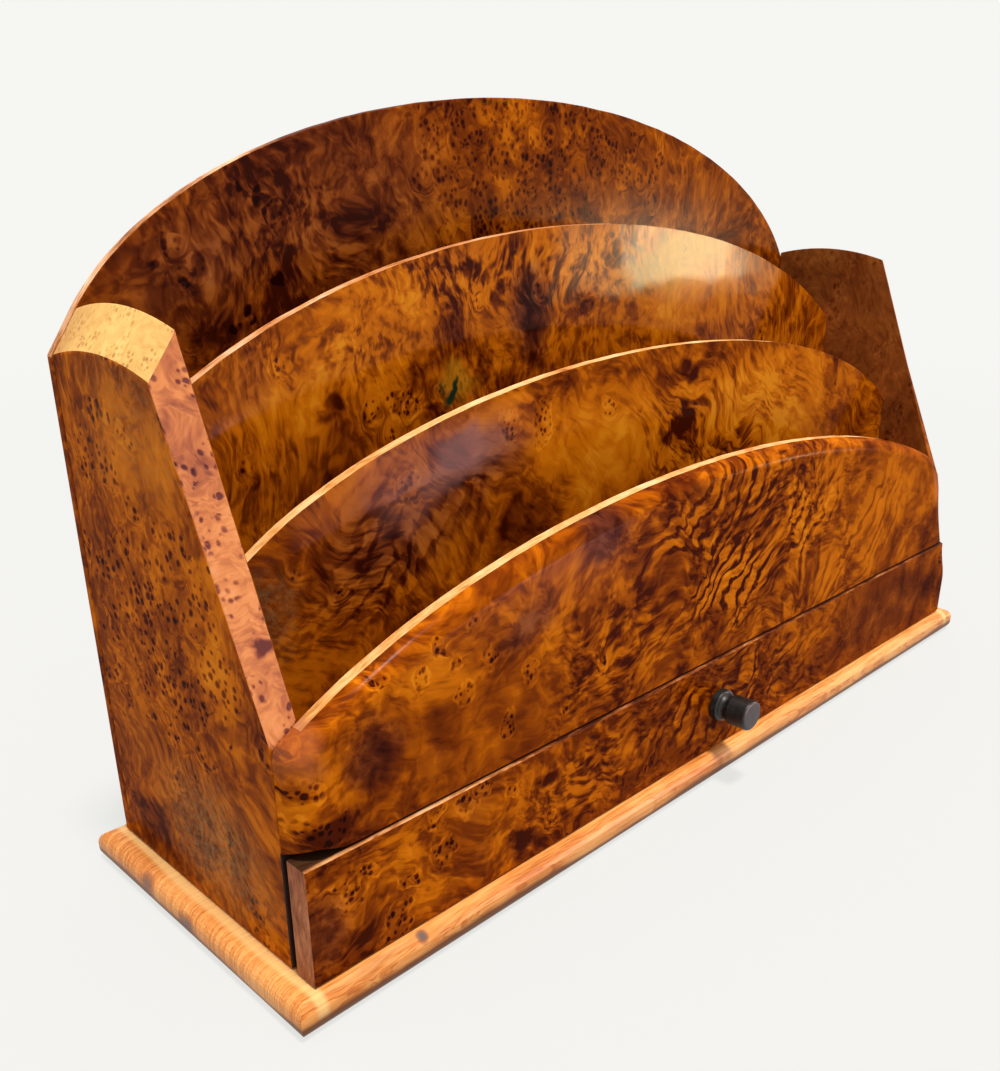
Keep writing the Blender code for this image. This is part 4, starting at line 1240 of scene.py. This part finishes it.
# Drawer front's burl: like the panel's but a little darker, with the ends of the same flames
drawer_look = burl(
    "thuya_burl_drawer", (51.0, 23.0, 67.0), lean=10.0, level=-0.02,
    weights=(0.95, 0.65, 0.25, 0.2), eyes=(10.0, 2.3, 0.15, 2.0, 1.2, 0.45), fleck_mm=5.6,
    marks=(
        ('gold', -126.0, 26.0, 44.0, 22.0, 0.0, 0.13),
        ('dark', -152.0, 19.0, 9.0, 9.0, 0.0, 0.15),
        ('dark', -97.0, 17.4, 7.0, 5.0, 0.0, 0.4),
        ('dark', -86.6, 31.8, 6.0, 4.0, -20.0, 0.6),
        ('plum', -161.0, 23.0, 10.0, 16.0, 0.0, 0.6),
        ('flame', -2.0, 25.0, 70.0, 24.0, 0.0, 0.32),
        ('streak', -70.0, 25.0, 30.0, 20.0, 0.0, 0.25),
        ('plum', 110.0, 25.0, 60.0, 20.0, 0.0, 0.3),
        ('streak', 120.0, 25.0, 70.0, 60.0, 0.0, -0.3),
        ('dark', 130.0, 25.0, 50.0, 20.0, 0.0, 0.08),
    ) + tuple(('eye', x, z, reach, reach, 0.0, 1.0) for x, z, reach in DRAWER_EYES),
)
# Its top: worn bright along the front, and painted black further back as the shade under the front panel
worn_edge = sanded_edge(
    "worn_thuya_edge", ("#4A1A06", "#9A5220", "#DE9C62", "#F8C898"), (17.0, 4.0, 4.0),
    drop=(-125.0, -70.0, 0.3), back_shade=(-47.2, -46.3),
)


def drawer_face(normal, centre):
    """Material of the drawer front's face: 0 in front and behind, 1 on its worn top, 2 on its ends."""
    if normal.z > DRAWER_TOP_FACING:
        return 1
    return 2 if abs(normal.x) > DRAWER_END_FACING else 0


# Its ends: sanded red-brown end grain, matt
drawer_end = sanded_edge(
    "sanded_thuya_end", ("#45200F", "#884826", "#B26A42", "#D2905E"), (9.0, 31.0, 5.0)
)
finished(
    "drawer_face", shape, [drawer_look, worn_edge, drawer_end], "drawer", "drawer_front", drawer_face
)

# Drawer box: thin plain cedar boards, glued at the corners and housed in the drawer front. They were
# left unlacquered, so they look dry and matt.
box_wood = straight_wood("plain_drawer_cedar", FLOOR_TONES, (0.0, 0.0, -30.0), 2.4, run='Y', satin=0.65)
dressed(["drawer_left_wall", "drawer_right_wall"], box_wood)
dressed(["drawer_back", "drawer_bottom"], floor_wood)

# Knob: hardwood turned in one piece and blackened, with a foot, a shallow neck and a cylindrical head,
# pulled against the drawer front by a screw from inside.
KNOB_TURN_STEPS = 96
KNOB_ROUND_STEPS = 8
KNOB_BACK_STEPS = 6
KNOB_NECK_STEPS = 12
KNOB_X = -0.005
KNOB_Z = 0.02565
KNOB_FOOT = 0.0053
KNOB_NECK = 0.0040
KNOB_HEAD = 0.0050
KNOB_ROUND = 0.0008
KNOB_FOOT_LONG = 0.003
KNOB_NECK_LONG = 0.0028
KNOB_HEAD_LONG = 0.0074
KNOB_FOOT_ARRIS = 0.0003
KNOB_FACE_SHARE = 0.4
low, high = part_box("knob")
profile = [(0.0, 0.0), (KNOB_FOOT - KNOB_FOOT_ARRIS, 0.0), (KNOB_FOOT, KNOB_FOOT_ARRIS)]
rim = KNOB_FOOT - KNOB_ROUND
for i in range(KNOB_ROUND_STEPS + 1):
    angle = math.pi / 2 * i / KNOB_ROUND_STEPS
    profile.append((
        KNOB_FOOT - KNOB_ROUND * (1 - math.cos(angle)),
        KNOB_FOOT_LONG - KNOB_ROUND * (1 - math.sin(angle)),
    ))
for i in range(1, KNOB_NECK_STEPS):
    share = i / KNOB_NECK_STEPS
    profile.append((
        rim + (KNOB_NECK - rim) * math.sin(math.pi * share), KNOB_FOOT_LONG + KNOB_NECK_LONG * share
    ))
head_start = KNOB_FOOT_LONG + KNOB_NECK_LONG
head_end = head_start + KNOB_HEAD_LONG
for i in range(KNOB_BACK_STEPS + 1):
    angle = math.pi / 2 * i / KNOB_BACK_STEPS
    profile.append((
        KNOB_HEAD - KNOB_ROUND / 2 * (1 - math.sin(angle)),
        head_start + KNOB_ROUND / 2 * (1 - math.cos(angle)),
    ))
for i in range(KNOB_ROUND_STEPS + 1):
    angle = math.pi / 2 * i / KNOB_ROUND_STEPS
    profile.append((
        KNOB_HEAD - KNOB_ROUND * (1 - math.cos(angle)), head_end - KNOB_ROUND * (1 - math.sin(angle))
    ))
profile += [(KNOB_HEAD * KNOB_FACE_SHARE, head_end), (0.0, head_end)]
shape = bmesh.new()
loops = []
for radius, along in profile:
    if radius == 0.0:
        loops.append([shape.verts.new((KNOB_X, high.y - along, KNOB_Z))])
        continue
    ring = []
    for i in range(KNOB_TURN_STEPS):
        angle = 2 * math.pi * i / KNOB_TURN_STEPS
        ring.append(shape.verts.new(
            (KNOB_X + radius * math.cos(angle), high.y - along, KNOB_Z + radius * math.sin(angle))
        ))
    loops.append(ring)
for near, far in zip(loops, loops[1:]):
    for i in range(KNOB_TURN_STEPS):
        j = (i + 1) % KNOB_TURN_STEPS
        if len(near) == 1:
            shape.faces.new((near[0], far[j], far[i]))
        elif len(far) == 1:
            shape.faces.new((near[i], near[j], far[0]))
        else:
            shape.faces.new((near[i], near[j], far[j], far[i]))
# Blackened wood: satin, with broad grey lights along its top. The tool's rings are about 0.1 mm apart,
# too fine to show, so they are drawn 0.35 mm wide.
TOOL_RING_MM = 0.35
TOOL_RING_REACH_MM = 6.0
RUBBED_MM = 2.0
SATIN_LEAST = 0.26
SATIN_SWING = 0.3
knob_look = blank("blackened_turned_wood")
tree = knob_look.node_tree
mm = in_mm(tree)
ring_place = add(
    tree, "Mapping", {"Vector": mm, "Scale": (TOOL_RING_REACH_MM, TOOL_RING_MM, TOOL_RING_REACH_MM)},
    vector_type='TEXTURE',
)
rings = add(tree, "TexNoise", {"Vector": ring_place, "Scale": 1.0, "Detail": 3.0})
rubbed = add(tree, "TexNoise", {"Vector": mm, "Scale": 1 / RUBBED_MM, "Detail": 3.0})
colour = toned(tree, rubbed, ("#07090A", "#121617", "#22282A"), (0.3, 0.55, 0.75))
sheen = add(tree, "Math", (rings, SATIN_SWING, SATIN_LEAST), operation='MULTIPLY_ADD')
bump = add(tree, "Bump", {"Strength": 0.35, "Distance": GRAIN_DEPTH, "Height": rings})
shader = add(
    tree, "BsdfPrincipled",
    {"Base Color": colour, "Roughness": sheen, "IOR": 1.5, "Specular IOR Level": 0.5, "Normal": bump},
)
add(tree, "OutputMaterial", {"Surface": shader})
finished("turned_knob", shape, [knob_look], "drawer", "knob")

# Screws and pins: countersunk screws up through the base and into the knob, and small panel pins
# through the back. All are zinc-plated steel, whose spangle has aged to soft dull spots.
SPOTS_PER_MM = 0.9
DULL_LEAST = 0.22
DULL_SWING = 0.3
steel_look = blank("zinc_plated_steel")
tree = steel_look.node_tree
spots = add(tree, "TexNoise", {"Vector": in_mm(tree), "Scale": SPOTS_PER_MM, "Detail": 3.0})
colour = toned(tree, spots, ("#6E6A62", "#A5A29A", "#C2C0BA"), (0.3, 0.55, 0.8))
sheen = add(tree, "Math", (spots, DULL_SWING, DULL_LEAST), operation='MULTIPLY_ADD')
shader = add(tree, "BsdfPrincipled", {"Base Color": colour, "Metallic": 1.0, "Roughness": sheen})
add(tree, "OutputMaterial", {"Surface": shader})
fasteners = [name for name in nodes if name.startswith(("base_screw", "back_pin", "knob_screw"))]
dressed(fasteners, steel_look)
